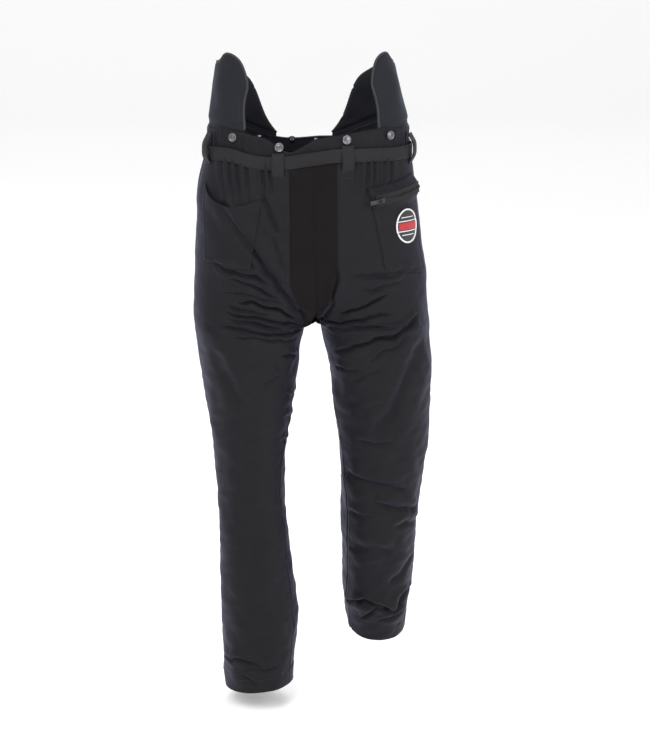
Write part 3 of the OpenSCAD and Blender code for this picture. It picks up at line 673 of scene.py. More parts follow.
M_BADGE = fabric("badge_black_thread", (0.012, 0.012, 0.014), (0.022, 0.022, 0.025), 0.6, 0.3,
    (0.6, 0.6, 0.7), pitch=0.9, weave=0.8,
                 crumple=0.05)
M_WHITE = fabric("badge_white_thread", (0.60, 0.60, 0.60), (0.78, 0.78, 0.78), 0.55, 0.3, (1, 1, 1),
    pitch=0.9, weave=0.8, crumple=0.05)
M_RED = fabric("badge_red_thread", (0.30, 0.012, 0.020), (0.46, 0.022, 0.034), 0.55, 0.3, (1, 0.5, 0.5),
    pitch=0.9, weave=0.8,
               crumple=0.05)


def metal(name, dark, light, rough, scratch=260.0):
    """Plated metal with fine scratches and slightly dulled spots."""
    def build(nodes, links, shader):
        spot = node(nodes, "ShaderNodeTexCoord")
        marks = node(nodes, "ShaderNodeTexNoise", Scale=scratch, Detail=4.0, Distortion=1.5)
        clouds = node(nodes, "ShaderNodeTexNoise", Scale=60.0, Detail=3.0)
        for n in (marks, clouds):
            links.new(spot.outputs["Object"], n.inputs["Vector"])
        shade = node(nodes, "ShaderNodeMix", data_type="RGBA")
        shade.inputs["A"].default_value = (*dark, 1)
        shade.inputs["B"].default_value = (*light, 1)
        links.new(clouds.outputs["Fac"], shade.inputs["Factor"])
        links.new(shade.outputs["Result"], shader.inputs["Base Color"])
        shader.inputs["Metallic"].default_value = 1.0
        dull = node(nodes, "ShaderNodeMapRange")
        dull.inputs["To Min"].default_value = rough * 0.6
        dull.inputs["To Max"].default_value = rough * 1.6
        links.new(marks.outputs["Fac"], dull.inputs["Value"])
        links.new(dull.outputs["Result"], shader.inputs["Roughness"])
        bump = node(nodes, "ShaderNodeBump", Strength=0.15, Distance=0.0002)
        links.new(marks.outputs["Fac"], bump.inputs["Height"])
        links.new(bump.outputs["Normal"], shader.inputs["Normal"])
    return material(name, build)


M_CHROME = metal("button_chrome", (0.10, 0.10, 0.11), (0.20, 0.20, 0.21), 0.26)
M_GUNMETAL = metal("zip_gunmetal", (0.030, 0.030, 0.034), (0.075, 0.075, 0.080), 0.34)


# ---------------------------------------------------------------- mesh helpers
def grid_normals(g, closed=False):
    du = np.roll(g, -1, 1) - np.roll(g, 1, 1) if closed else np.gradient(g, axis=1)
    return unit(np.cross(np.gradient(g, axis=0), du))


def two_sided(name, outer, inner, mat, closed=False):
    """A closed solid between two grids. Rows run down, columns anticlockwise seen from above."""
    outer, inner = np.array(outer, float), np.array(inner, float)
    rows, cols = outer.shape[:2]
    last = cols if closed else cols - 1
    total = rows * cols
    faces = []
    for i in range(rows - 1):
        for j in range(last):
            k = (j + 1) % cols
            a, b, c, d = i * cols + j, (i + 1) * cols + j, (i + 1) * cols + k, i * cols + k
            faces.append((a, b, c, d))
            faces.append((total + d, total + c, total + b, total + a))
    for j in range(last):
        k = (j + 1) % cols
        faces.append((j, k, total + k, total + j))
        r = (rows - 1) * cols
        faces.append((r + k, r + j, total + r + j, total + r + k))
    if not closed:
        for i in range(rows - 1):
            a, b = i * cols, (i + 1) * cols
            faces.append((b, a, total + a, total + b))
            a, b = a + cols - 1, b + cols - 1
            faces.append((a, b, total + b, total + a))
    across = np.concatenate([np.zeros((rows, 1)),
        np.cumsum(np.linalg.norm(np.diff(outer, axis=1), axis=2), axis=1)], 1)
    down = np.concatenate([np.zeros((1, cols)),
        np.cumsum(np.linalg.norm(np.diff(outer, axis=0), axis=2), axis=0)], 0)
    at = np.stack([across, down, np.zeros_like(down)], 2).reshape(-1, 3)
    obj = make(name, np.vstack([outer.reshape(-1, 3), inner.reshape(-1, 3)]), faces, at=np.vstack([at, at]))
    obj.data.materials.append(mat)
    return obj


def shell(name, grid, th, mat, closed=False):
    g = np.array(grid, float)
    return two_sided(name, g, g - grid_normals(g, closed) * th, mat, closed)


def pillow(name, grid, half, mat):
    g = np.array(grid, float)
    n = grid_normals(g)
    half = np.asarray(half, float)[:, :, None]
    return two_sided(name, g + n * half, g - n * half, mat)


def edge_gap(g):
    """Distance in millimetres of each grid point from the nearest edge of an open grid."""
    rows, cols = g.shape[:2]
    across = np.concatenate([np.zeros((rows, 1)),
        np.cumsum(np.linalg.norm(np.diff(g, axis=1), axis=2), axis=1)], 1)
    down = np.concatenate([np.zeros((1, cols)),
        np.cumsum(np.linalg.norm(np.diff(g, axis=0), axis=2), axis=0)], 0)
    return np.minimum.reduce([across, across[:, -1:] - across, down, down[-1:] - down])


def tube_mesh(path, radius, sides=10, closed=False, flat=1.0):
    path = np.array(path, float)
    count = len(path)
    nxt = np.roll(path, -1, 0) if closed else np.vstack([path[1:], path[-1:]])
    prv = np.roll(path, 1, 0) if closed else np.vstack([path[:1], path[:-1]])
    t = unit(nxt - prv)
    ref = np.tile([0.0, 0.0, 1.0], (count, 1))
    ref[np.abs(t[:, 2]) > 0.9] = [0.6, -0.8, 0]
    a = unit(np.cross(t, ref))
    b = np.cross(t, a)
    ang = np.arange(sides) * 2 * math.pi / sides
    radius = np.broadcast_to(np.asarray(radius, float), (count,))
    ring = (a[:, None] * np.cos(ang)[None, :, None] * flat + b[:, None] * np.sin(ang)[None, :,
        None]) * radius[:, None, None]
    verts = (path[:, None] + ring).reshape(-1, 3)
    faces = []
    for i in range(count if closed else count - 1):
        for k in range(sides):
            m = (k + 1) % sides
            j = (i + 1) % count
            faces.append((i * sides + k, i * sides + m, j * sides + m, j * sides + k))
    if not closed:
        faces.append(tuple(range(sides))[::-1])
        faces.append(tuple((count - 1) * sides + k for k in range(sides)))
    return verts, faces


def tube(name, path, radius, mat, sides=10, closed=False):
    verts, faces = tube_mesh(path, radius, sides, closed)
    obj = make(name, verts, faces, at=verts)
    obj.data.materials.append(mat)
    return obj


def merged(name, parts, mat):
    """One object out of many (verts, faces) parts."""
    verts, faces, base = [], [], 0
    for v, f in parts:
        verts.append(np.asarray(v, float))
        faces.extend([tuple(i + base for i in face) for face in f])
        base += len(v)
    verts = np.vstack(verts)
    obj = make(name, verts, faces, at=verts)
    obj.data.materials.append(mat)
    return obj


def stitches(path, pitch=3.4, length=2.3, radius=0.36):
    """Capsules of thread along a line."""
    path = np.array(path, float)
    seg = np.linalg.norm(np.diff(path, axis=0), axis=1)
    s = np.concatenate([[0], np.cumsum(seg)])
    parts = []
    for start in np.arange(pitch * 0.4, s[-1] - length, pitch):
        ends = np.array([[np.interp(start + k, s, path[:, c]) for c in range(3)] for k in (0, length * 0.25,
            length * 0.75, length)])
        parts.append(tube_mesh(ends, [0.12, radius, radius, 0.12], 5))
    return parts


def finished(obj, body, other=None, replaces=()):
    if other:
        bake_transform(obj)
    else:
        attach(obj, body)
    if replaces:
        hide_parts(*replaces)
    return obj


def hip_point(u, z, out=0):
    """The CAD hip, u from 0 at the front centre to 180 at the back; a negative u is the right side."""
    side = np.where(np.asarray(u) < 0, -1, 1)
    x, y = hip_ring(np.abs(u), z)
    n = unit(np.stack([np.abs(x) / 230 ** 2, y / 143 ** 2], -1))
    return np.stack([(x + n[..., 0] * out) * side, y + n[..., 1] * out,
        np.broadcast_to(z, np.shape(x)) * 1.0], -1)


def on_cloth(u, z, out):
    """Grid of points lying out millimetres above the finished cloth."""
    u, z, out = np.broadcast_arrays(np.asarray(u, float), np.asarray(z, float), np.asarray(out, float))
    p = hip_point(u, z)
    n = unit(hip_point(u, z, 10) - p)
    result = np.empty(p.shape)
    for i in np.ndindex(u.shape):
        hit = tree.ray_cast(tuple(p[i] + n[i] * 40), tuple(-n[i]), 90)[0]
        result[i] = (np.array(hit) if hit else p[i]) + n[i] * out[i]
    return result


def calm(g, times=2):
    """Smooths a grid of points, its border kept."""
    g = g.copy()
    for _ in range(times):
        g[1:-1, 1:-1] = (g[1:-1, 1:-1] * 2 + g[:-2, 1:-1] + g[2:, 1:-1] + g[1:-1, :-2] + g[1:-1, 2:]) / 6
    return g


# ---------------------------------------------------------------- waistband
BAND_BOTTOM = -19
LEAN = {"left": 0.25, "right": 0.14}
BELT_OUT, BELT_BACK_OUT, BELT_BACK_DROP = 5, 4, 22


def folded(u):
    u = np.asarray(u, float) % 360
    return np.where(u <= 180, u, 360 - u)


def sag(u):
    """The front right of the waist slouches down."""
    u = np.asarray(u, float) % 360
    return 14 * smooth(1 - np.minimum(np.abs(u - 340), np.abs(u + 20)) / 34)


def band_top(u):
    v = folded(u)
    side = 36 + 14 * smooth(v / 36)
    back = 50 - 38 * smooth((v - 128) / 44)
    notch = 18 * smooth(1 - np.abs((np.asarray(u, float) % 360) - 349) / 14.4)
    return np.where(v < 90, side, back) - notch - sag(u)


def band_point(u, z, out, lean_rate=0):
    u, z, out = np.broadcast_arrays(np.asarray(u, float), np.asarray(z, float), np.asarray(out, float))
    lean = lean_rate * np.maximum(0, z - 50)
    a, b = WAIST_W + out - lean, WAIST_D + out - lean * 0.6
    return np.stack([a * spow(sind(u), 2 / SQUARE), -b * spow(cosd(u), 2 / SQUARE), z], -1)


def ruche(u, h):
    """Gathers that elastic draws in the band: finer at the edges, slanting a little."""
    return (np.sin(np.radians(u * 47 + 60 * np.sin(np.radians(u * 9)) + 40 * h)) * 0.55
            + np.sin(np.radians(u * 83 + 90 * h + 50 * np.sin(np.radians(u * 5)))) * 0.30)


def band_ring(name, out, th, drop, mat, depth, replaces):
    u = np.arange(0, 360, 0.75)[None, :]
    h = np.linspace(0, 1, 15)[:, None]
    top = band_top(u) - drop
    z = top + (BAND_BOTTOM - top) * h
    roll = -1.3 * np.exp(-(h / 0.07) ** 2)
    slump = 2.2 * np.sin(np.radians(u * 3 + 40)) * smooth(h * 2) * (1 - h)
    wobble = 1.1 * np.sin(np.radians(u * 11)) + 0.8 * np.sin(np.radians(u * 17 + 50))
    z = z + wobble * (1 - h)
    g = band_point(u, z, out + depth * ruche(u, h) * smooth((h + 0.12) * 3) + roll + depth * slump * 0.5)
    obj = shell(name, g, th, mat, closed=True)
    return finished(obj, "hips", replaces=replaces)


band_ring("waistband_outer_cloth", 0.4, 1.4, 0, M_SHELL, 1.0, ["waistband_outer"])
band_ring("waistband_elastic_band", -1.9, 1.2, 5, M_ELASTIC, 0.5, ["waistband_elastic"])
band_ring("waistband_lining_cloth", -3.6, 0.9, 1, M_LINING, 0.7, ["waistband_lining"])
u_all = np.arange(0, 360.5, 0.75)
rows = []
for below in (5, 9):
    rows += stitches(band_point(u_all, band_top(u_all) - below, 1.1))
finished(merged("waistband_stitches", rows, M_THREAD), "hips")


# ---------------------------------------------------------------- belt
def belt_point(u, z, out):
    back = smooth((folded(u) - 110) / 55)
    p = band_point(u, 0, BELT_OUT + BELT_BACK_OUT * back + out)
    ripple = 1.0 * np.sin(np.radians(np.asarray(u) * 5 + 20)) + 0.6 * np.sin(np.radians(np.asarray(u) * 13))
    p[..., 2] = z - BELT_BACK_DROP * back - sag(u) + ripple * 0.6
    return p


u = np.arange(0, 360, 1.0)[None, :]
h = np.linspace(-1, 1, 13)[:, None]
swell = (0.35 * np.sin(np.radians(u * 7)) - 0.5 * np.abs(h) ** 6
         + 0.25 * np.exp(-((np.abs(h) - 0.78) / 0.06) ** 2) * -1)
finished(shell("belt_strap", belt_point(u, -13.3 * h, 2.1 + swell), 2.0, M_WEBBING, closed=True), "hips",
    replaces=["belt"])
rows = []
for level in (-10.6, 10.6):
    rows += stitches(belt_point(u_all, level, 2.25), pitch=3.8)
finished(merged("belt_stitches", rows, M_THREAD), "hips")


# ---------------------------------------------------------------- belt loops
def loop_strip(name, u, top, low, bulge):
    """A folded strip sewn at both ends, standing over the belt."""
    centre = band_point(u, 0, 0)
    ahead = band_point(u + 0.5, 0, 0) - band_point(u - 0.5, 0, 0)
    along = unit(ahead * [1, 1, 0])
    away = np.array([along[1], -along[0], 0])
    shift = sag(u) + BELT_BACK_DROP * 0.92 * smooth((folded(u) - 110) / 45)
    heights = np.linspace(0, 1, 25)
    z = top + (low - top) * heights
    stand = 2.6 + (bulge - 2.6) * np.exp(-np.abs((heights - 0.42) / 0.34) ** 3.2)
    stand = stand + np.where(heights > 0.8, (heights - 0.8) / 0.2 * 4.0, 0)
    widths = np.linspace(-1, 1, 9)
    g = np.empty((25, 9, 3))
    for i in range(25):
        for j, s in enumerate(widths):
            crown = 0.5 * (1 - s ** 4) + 0.35 * math.sin(3 * s + 6 * heights[i])
            g[i, j] = centre + along * s * 12.2 + away * (stand[i] + crown + 0.8) + [0, 0, z[i] - shift]
    obj = shell(name, g, 1.7, M_WEBBING)
    finished(obj, "hips", replaces=[LOOP_NODES[name]])
    parts = []
    for i in (1, 23):
        for k in range(3):
            row = g[i] + away * 0.25 + [0, 0, (-1.2 + k * 1.2)]
            parts += stitches(row[1:-1], pitch=1.5, length=1.3, radius=0.4)
    for j in (1, 7):
        parts += stitches(g[2:-2, j] + away * 0.2, pitch=3.2)
    return parts


LOOP_NODES = {f"belt_loop_strip_{k}": f"belt_loop_{k}" for k in
              ("front_left", "front_right", "side_left", "side_right", "back_left", "back_right",
                  "back_center")}
tacks = []
for key, u_at, top, low, bulge in (("front_left", 16.6, 20, -44, 9.8), ("front_right", 343.4, 20, -44, 9.8),
                                   ("side_left", 74, 36, -38, 15.5), ("side_right", 286, 38, -38, 15.5),
                                   ("back_left", 155.8, 18, -44, 13.5), ("back_right", 204.2, 18, -44, 13.5),
                                   ("back_center", 180, 18, -44, 13.5)):
    tacks += loop_strip("belt_loop_strip_" + key, u_at, top, low, bulge)
finished(merged("belt_loop_stitches", tacks, M_THREAD), "hips")


# ---------------------------------------------------------------- suspender buttons
def lathe(profile, place, away, sides=36):
    """Revolves (radius, height) pairs about away, at place."""
    away = unit(away)
    a = unit(np.cross(away, [0, 0, 1]))
    b = np.cross(away, a)
    verts, faces = [], []
    for r, t in profile:
        for k in range(sides):
            ang = 2 * math.pi * k / sides
            verts.append(place + away * t + (a * math.cos(ang) + b * math.sin(ang)) * r)
    for i in range(len(profile) - 1):
        for k in range(sides):
            m = (k + 1) % sides
            faces.append((i * sides + k, i * sides + m, (i + 1) * sides + m, (i + 1) * sides + k))
    faces.append(tuple(range(sides))[::-1])
    faces.append(tuple((len(profile) - 1) * sides + k for k in range(sides)))
    return verts, faces


CAP = [(2.0, 0.9), (7.6, 0.6), (8.7, 0.7), (9.0, 1.3), (8.9, 2.3), (8.4, 3.0), (7.6, 3.2), (6.8, 2.9),
    (6.4, 2.5), (5.6, 2.6),
       (4.2, 3.1), (2.4, 3.45), (0.6, 3.6)]
POST = [(0.3, -7.2), (5.0, -7.2), (5.6, -6.8), (5.6, -6.3), (5.0, -5.9), (1.6, -5.8), (1.6, 1.2),
    (2.6, 1.6), (0.3, 1.7)]
caps, posts = [], []
for side in (1, -1):
    for u_at, z_at in ((16, 31), (47, 36), (155.5, 12), (174.8, 4.2)):
        u_on = u_at if side > 0 else 360 - u_at
        z_on = z_at - float(sag(u_on))
        p = band_point(u_on, z_on, 0)
        along = unit((band_point(u_on + 0.5, z_on, 0) - band_point(u_on - 0.5, z_on, 0)) * [1, 1, 0])
        away = np.array([along[1], -along[0], 0])
        caps.append(lathe(CAP, p + away * 1.9, away))
        posts.append(lathe(POST, p + away * 1.9, away, 24))
finished(merged("suspender_button_domes", caps, M_CHROME), "hips", replaces=["suspender_button_caps"])
finished(merged("suspender_button_rivets", posts, M_CHROME), "hips", replaces=["suspender_button_posts"])


# ---------------------------------------------------------------- kidney flaps
FRONT_EDGE = [(39, 132), (42, 158), (48, 180), (56, 190), (64, 193), (70, 190), (74.5, 178), (88.5, 173)]
REAR_EDGE = [(91.5, 174), (110, 168), (128, 156), (144, 137), (151, 112), (156, 72), (160, 46), (166, 19)]


def edge_height(table, u):
    us, zs = zip(*table)
    return sum(np.interp(u + k, us, zs) for k in (-2, -1, 0, 1, 2)) / 5


def flap(kind, leg, start_u, stop_u, table, out):
    side = 1 if leg == "left" else -1
    body = f"{kind}_flap_{leg}"
    steps = 49
    s = np.linspace(0, 1, steps)[None, :]
    u = start_u + (stop_u - start_u) * s
    h = np.concatenate([[-0.14, -0.07], np.linspace(0, 1, 41)])[::-1][:, None]
    low = np.where(folded(u) < 90, 50, 50 - 38 * smooth((u - 128) / 44)) + 6
    top = edge_height(table, u)
    z = low + (top - low) * np.maximum(h, 0) + np.minimum(h, 0) / 0.14 * 11
    # the front edge of the front flap bows inwards a little as it rises
    bow = (2.0 * np.sin(np.pi * np.clip(h, 0, 1)) * (1 - s) ** 2 if kind == "front" else 0)
    g = band_point(u + bow, z, out, LEAN[leg])
    gap = edge_gap(g)
    puff = np.clip((gap - 1) / 17, 0, 1)
    half = 1.3 + 3.5 * np.sqrt(puff * (2 - puff))
    seat_line = np.exp(-((z - low - 1) / 5.0) ** 2)
    half = np.where(h < 0, 1.1, half * (1 - 0.72 * seat_line))
    lumps = waves(g.reshape(-1, 3), 70, 31 if kind == "front" else 32).reshape(half.shape)
    g = g + grid_normals(g) * (lumps * 1.4 * np.clip(gap / 30, 0, 1))[:, :, None]
    if side < 0:
        g = (g * [-1, 1, 1])[:, ::-1]
        half = half[:, ::-1]
        z = z[:, ::-1]
    cover = pillow(f"{kind}_kidney_pad_{leg}", g, half, M_FLAP)
    finished(cover, "hips", body, [f"{kind}_kidney_cover_{leg}"])
    foam = pillow(f"{kind}_kidney_filling_{leg}", g[2:38, 3:-3], np.maximum(half[2:38, 3:-3] - 0.9, 0.4),
        M_FOAM)
    finished(foam, body, replaces=[f"{kind}_kidney_foam_{leg}"])
    rim = list(g[0]) if side > 0 else list(g[0][::-1])
    edge = g[2:42, 0] if side > 0 else g[2:42, -1]
    if kind == "front":
        path = [p for p in edge[::-1]] + rim[1:]
    else:
        path = rim
    path = np.array(path)
    middle = path.mean(0)
    path = path + unit((path - middle) * [0.4, 0.4, 1]) * 0.8
    smoothed = path.copy()
    for _ in range(6):
        smoothed[1:-1] = (smoothed[:-2] + smoothed[2:] + 2 * smoothed[1:-1]) / 4
    piping = tube(f"{kind}_kidney_binding_{leg}", smoothed, 2.5, M_PIPING, 12)
    finished(piping, body, replaces=[f"{kind}_kidney_piping_{leg}"])
    n = grid_normals(g)
    parts = []
    col = 3 if side > 0 else -4
    outward = g + n * (half[:, :, None] + 0.15)
    parts += stitches(outward[2, 3:-3])
    if kind == "front":
        parts += stitches(outward[3:-6, col])
    finished(merged(f"{kind}_kidney_stitches_{leg}", parts, M_THREAD), body)


for leg, side in (("left", 1), ("right", -1)):
    flap("front", leg, 39, 88.5, FRONT_EDGE, -3.6)
    flap("rear", leg, 91.5, 166, REAR_EDGE, -3.6)


# ---------------------------------------------------------------- pockets
def trimmed(g, edge_lift=0.7):
    """Raises a patch's folded edges."""
    gap = edge_gap(g)
    return g + grid_normals(g) * (edge_lift * np.exp(-((gap - 2.2) / 2.4) ** 2)
                                  - 0.5 * np.exp(-((gap - 5.5) / 1.2) ** 2))[:, :, None]


def patch_stitches(g, rings=(5.5,), sides="lrb"):
    """Rows of thread inside the left, right, bottom and top edges of a patch."""
    n = grid_normals(g)
    top = g + n * 0.35
    rows, cols = g.shape[:2]
    parts = []
    for inset in rings:
        w = np.linalg.norm(g[:, -1] - g[:, 0], axis=1).mean() / (cols - 1)
        hgt = np.linalg.norm(g[-1] - g[0], axis=1).mean() / (rows - 1)
        j, i = max(1, round(inset / w)), max(1, round(inset / hgt))
        if "l" in sides:
            parts += stitches(top[i:-i, j])
        if "r" in sides:
            parts += stitches(top[i:-i, -1 - j])
        if "b" in sides:
            parts += stitches(top[-1 - i, j:-j])
        if "t" in sides:
            parts += stitches(top[i, j:-j])
    return parts


ZIP_C = np.array([82.6572, 12.0786, -79.0])
ZIP_R, ZIP_A, ZIP_TURN, ZIP_SLOPE = 142.766, -73.3677, 46.9856, 8.99
ZIP_MID = ZIP_A + ZIP_TURN / 2
ZIP_M = np.array(Matrix.Rotation(math.radians(ZIP_MID), 3, "Z") @ Matrix.Rotation(math.radians(ZIP_SLOPE),
    3, "X"))


def lift_to_zip(g):
    """Brings a patch's points out to just under the zip tape where they pass behind it."""
    local = (g - ZIP_C) @ ZIP_M
    radial = np.hypot(local[..., 0], local[..., 1])
    angle = np.degrees(np.arctan2(local[..., 1], local[..., 0])) + ZIP_MID
    beside = np.maximum(0, np.maximum(ZIP_A - angle, angle - ZIP_A - ZIP_TURN)) * 2.4
    share = np.exp(-(np.maximum(0, np.abs(local[..., 2]) - 9) / 11) ** 2) * np.exp(-(beside / 9) ** 2)
    want = np.where(share > 0.02, ZIP_R + 3.7, radial)
    scale = 1 + share * (want - radial) / radial
    local[..., 0] *= scale
    local[..., 1] *= scale
    return local @ ZIP_M.T + ZIP_C


s = np.linspace(0, 1, 41)[None, :]
h = np.linspace(0, 1, 57)[:, None]
u = 27 + 49 * s
top = -88 + 18 * (u - 31) / 41 + 26
zip_grid = calm(on_cloth(u + 8 * h * (1 - s), top + (-227 - 16 * s - top) * h, 1.3), 3)
zip_grid = trimmed(lift_to_zip(zip_grid))
zip_patch = shell("zip_pocket_cloth", zip_grid, 1.0, M_SHELL)
finished(zip_patch, "hips", "thigh_left", ["zip_pocket_patch"])
parts = patch_stitches(zip_grid, (5.5,), "lrbt")
finished(merged("zip_pocket_stitches", parts, M_THREAD), "hips", "thigh_left")

s = np.linspace(0, 1, 45)[None, :]
h = np.linspace(0, 1, 55)[:, None]
u = 24.3 + 4.7 * h * (1 - s) + (71 - 24.3 - 5 * h) * s
mouth = -80 - 22 * np.sin(np.pi * np.clip(s * 1.05, 0, 1)) ** 0.9 + 22 * s ** 2
z = mouth + (-221 + 13 * s - mouth) * h
gape = 9.0 * np.sin(np.pi * s) * np.exp(-(h / 0.22) ** 2) + 1.5 * np.sin(np.pi * s) * np.sin(np.pi * h)
hand_grid = calm(on_cloth(-u, z, 1.4 + gape), 3)[:, ::-1]
hand_grid = trimmed(hand_grid)
hand_patch = shell("hand_pocket_cloth", hand_grid, 1.0, M_SHELL)
finished(hand_patch, "hips", "thigh_right", ["hand_pocket_patch"])
parts = patch_stitches(hand_grid, (5.5,), "lrbt")
finished(merged("hand_pocket_stitches", parts, M_THREAD), "hips", "thigh_right")


# ---------------------------------------------------------------- embroidered badge
patch_tree = BVHTree.FromPolygons([tuple(v) for v in zip_grid.reshape(-1, 3)],
                                  [(i * 41 + j, (i + 1) * 41 + j, (i + 1) * 41 + j + 1, i * 41 + j + 1)
                                   for i in range(56) for j in range(40)])
BADGE = hip_point(np.array(56.0), np.array(-143.0))
badge_side = unit((hip_point(np.array(57.0), np.array(-143.0)) - hip_point(np.array(55.0),
    np.array(-143.0))) * [1, 1, 0])
badge_away = np.array([badge_side[1], -badge_side[0], 0])


def on_badge(a, b, out):
    """Point a mm along and b mm up from the badge's centre, out mm above the pocket."""
    p = BADGE + badge_side * a + np.array([0, 0, 1]) * b
    hit = patch_tree.ray_cast(tuple(p + badge_away * 40), tuple(-badge_away), 80)[0]
    return (np.array(hit) if hit else p) + badge_away * out


def badge_disc(name, radius, out, th, mat, rings=12, sides=72):
    verts, faces = [], []
    for level in (out, out - th):
        for i in range(rings + 1):
            r = radius * i / rings
            for k in range(sides):
                ang = 2 * math.pi * k / sides
                crown = -0.5 * (i == rings)
                verts.append(on_badge(r * math.cos(ang), r * math.sin(ang), level + crown * (level == out)))
    per = (rings + 1) * sides
    for i in range(rings):
        for k in range(sides):
            m = (k + 1) % sides
            quad = (i * sides + k, (i + 1) * sides + k, (i + 1) * sides + m, i * sides + m)
            if i == 0:
                quad = (0, quad[1], quad[2])
            faces.append(quad)
            faces.append(tuple(per + q for q in reversed(quad)))
    for k in range(sides):
        m = (k + 1) % sides
        a, b = rings * sides + k, rings * sides + m
        faces.append((a, per + a, per + b, b))
    obj = make(name, verts, faces, at=verts)
    obj.data.materials.append(mat)
    return obj


def badge_bar(half_w, low, high, out, th):
    """A raised satin-stitched bar."""
    cols, rows = 25, 7
    top = np.array([[on_badge(-half_w + 2 * half_w * j / (cols - 1), high + (low - high) * i / (rows - 1),
                              out - 0.5 * (i in (0, rows - 1) or j in (0,
                                  cols - 1))) for j in range(cols)] for i in range(rows)])
    return top, top - badge_away * th


finished(badge_disc("badge_ground", 32.0, 1.8, 1.3, M_BADGE), "hips", replaces=["crest_badge"])
ring = [on_badge(32.4 * math.cos(t), 32.4 * math.sin(t), 1.6) for t in np.linspace(0, 2 * math.pi, 96,
    endpoint=False)]
finished(tube("badge_merrowed_edge", ring, 1.7, M_WHITE, 10, closed=True), "hips")
finished(two_sided("badge_red_bar", *badge_bar(27.6, -7.2, 7.2, 2.7, 1.0), M_RED), "hips")
for k, (half_w, low, high) in enumerate(((28.2, 8.9, 10.8), (28.2, -10.8, -8.9), (18.7, 16.5, 18.1),
    (18.7, -18.1, -16.5))):
    finished(two_sided(f"badge_white_line_{k + 1}", *badge_bar(half_w, low, high, 2.5, 0.9), M_WHITE),
        "hips")


# ---------------------------------------------------------------- pads sewn inside
def inner_pad(name, g, th, node_name, body, other=None):
    gap = edge_gap(g)
    puff = np.clip(gap / 16, 0, 1)
    half = th / 2 * (0.3 + 0.7 * np.sqrt(puff * (2 - puff)))
    quilt = 0.7 * np.exp(-((gap - 26) / 2.2) ** 2)
    obj = pillow(name, g, half - quilt, M_FOAM)
    finished(obj, body, other, [node_name])


for leg, side in (("left", 1), ("right", -1)):
    u = np.linspace(58, 126, 33)[None, :] * side
    z = np.linspace(-75, -262, 45)[:, None]
    g = hip_point(*np.broadcast_arrays(u, z), -18)
    inner_pad(f"hip_padding_{leg}", g if side > 0 else g[:, ::-1], 8, f"hip_pad_{leg}", "hips")
    t = np.linspace(222, 338, 33)[None, :] if side > 0 else np.linspace(202, 318, 33)[None, :]
    z = np.broadcast_arrays(t, np.linspace(-466, -636, 41)[:, None])[1]
    table = LEGS[side]
    a, b = column(table, 3, z) - 19, column(table, 4, z) - 19
    along = b * spow(sind(t), 2 / SQUARE)
    tilt = column(table, 5, z)
    g = np.stack([side * column(table, 1, z) + a * spow(cosd(t), 2 / SQUARE),
        column(table, 2, z) + along * cosd(tilt),
                  z + along * sind(tilt)], -1)
    inner_pad(f"thigh_padding_{leg}", g, 8, f"thigh_pad_{leg}", "hips", f"thigh_{leg}")
u, z = np.broadcast_arrays(np.linspace(163, 197, 25)[None, :], np.linspace(-60, -215, 33)[:, None])
g = hip_point(folded(u), z, -17)
g[..., 0] *= np.where(u > 180, -1, 1)
inner_pad("tailbone_padding", g, 8, "tailbone_pad", "hips")


# ---------------------------------------------------------------- gusset and hems
s = np.linspace(-1, 1, 33)[:, None]
w = np.linspace(-1, 1, 15)[None, :]
y = 4 + 66 * s
half_w = 9 * (1 - 0.75 * np.abs(s) ** 2)
g = np.stack(np.broadcast_arrays(CROTCH_X + half_w * w, y, CROTCH_Z - 2 + 13 * s ** 2 - 4 * w ** 2), -1)
finished(shell("gusset_cloth", g[::-1], 1.2, M_PANEL), "hips", replaces=["crotch_gusset"])

for leg, side in (("left", 1), ("right", -1)):
    grid, arcs, crotch = grids[side]
    inner = grid[-7:, :-1] if side > 0 else grid[-7:, :0:-1]
    away = grid_normals(inner, True)
    if (away[3, 60] @ (inner[3, 60] - inner[3].mean(0))) < 0:
        inner = inner[:, ::-1]
        away = grid_normals(inner, True)
    band = shell(f"hem_turnup_{leg}", inner - away * 1.6, 0.9, M_SHELL, closed=True)
    finished(band, f"shin_{leg}", replaces=[f"hem_band_{leg}"])
    line = np.vstack([inner[1], inner[1][:1]])
    lift = np.vstack([away[1], away[1][:1]])
    hits = []
    for p, n in zip(line, lift):
        hit = tree.ray_cast(tuple(p + n * 25), tuple(-n), 50)[0]
        hits.append((np.array(hit) if hit else p) + n * 0.3)
    finished(merged(f"hem_stitches_{leg}", stitches(hits), M_THREAD), f"shin_{leg}")

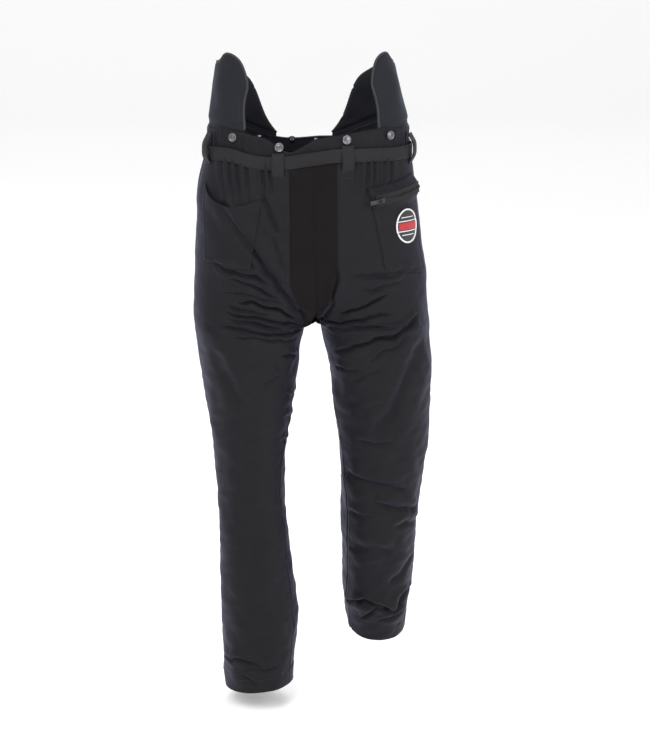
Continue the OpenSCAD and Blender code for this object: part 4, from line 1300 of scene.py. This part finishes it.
# ---------------------------------------------------------------- CAD pieces that stay, with their finish
for name, mat in (("zip_tape", M_WEBBING), ("zip_teeth", M_GUNMETAL), ("zip_stops", M_GUNMETAL),
    ("zip_slider", M_GUNMETAL),
                  ("zip_pull", M_GUNMETAL), ("belt_slide_adjuster", M_GUNMETAL)):
    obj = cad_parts[name]
    obj.data.materials.clear()
    obj.data.materials.append(mat)
    if mat is M_WEBBING:
        co = verts_of(obj)
        attribute = obj.data.attributes.new("cloth_at", "FLOAT_VECTOR", "POINT")
        attribute.data.foreach_set("vector", (co * MM).astype(np.float32).ravel())

# ---------------------------------------------------------------- floor, light and camera
def plain(name, colour, rough, glow):
    def build(nodes, links, shader):
        shader.inputs["Emission Color"].default_value = (1, 1, 1, 1)
        shader.inputs["Emission Strength"].default_value = glow
        shader.inputs["Base Color"].default_value = (*colour, 1)
        shader.inputs["Roughness"].default_value = rough
    return material(name, build)


floor = make("studio_floor",
    [(-6000, -5200, -1150), (6000, -5200, -1150), (6000, 4200, -1150), (-6000, 4200, -1150),
                              (6000, 6500, -600), (-6000, 6500, -600), (6000, 7600, 6000),
                                  (-6000, 7600, 6000)],
             [(0, 1, 2, 3), (3, 2, 4, 5), (5, 4, 6, 7)])
floor.data.materials.append(plain("pale_paper", (0.92, 0.92, 0.92), 0.9, 0.16))


def area_light(name, place, target, size, watts):
    light = bpy.data.lights.new(name, "AREA")
    light.size = size
    light.energy = watts
    obj = bpy.data.objects.new(name, light)
    obj.location = place
    obj.rotation_euler = (Vector(target) - Vector(place)).to_track_quat("-Z", "Y").to_euler()
    bpy.context.scene.collection.objects.link(obj)


area_light("key_light", (-1.6, -2.6, 2.2), (0, 0, -0.4), 2.4, 95)
area_light("fill_light", (2.4, -2.4, 0.8), (0, 0, -0.4), 2.4, 55)
area_light("back_light", (0.6, 2.6, 2.2), (0, 0, -0.3), 2.0, 70)
world = bpy.data.worlds.new("studio")
world.use_nodes = True
world.node_tree.nodes["Background"].inputs[0].default_value = (1, 1, 1, 1)
world.node_tree.nodes["Background"].inputs[1].default_value = 0.75
bpy.context.scene.world = world

lens = bpy.data.cameras.new("camera")
lens.lens = 106.3
lens.sensor_width = 36
camera = bpy.data.objects.new("camera", lens)
camera.location = (-0.3123, -4.389, 0.5)
aim = Vector((0.0329, -0.0026, -0.46))
camera.rotation_euler = (aim - camera.location).to_track_quat("-Z", "Y").to_euler()
bpy.context.scene.collection.objects.link(camera)
bpy.context.scene.camera = camera
bpy.context.scene.view_settings.view_transform = "Standard"
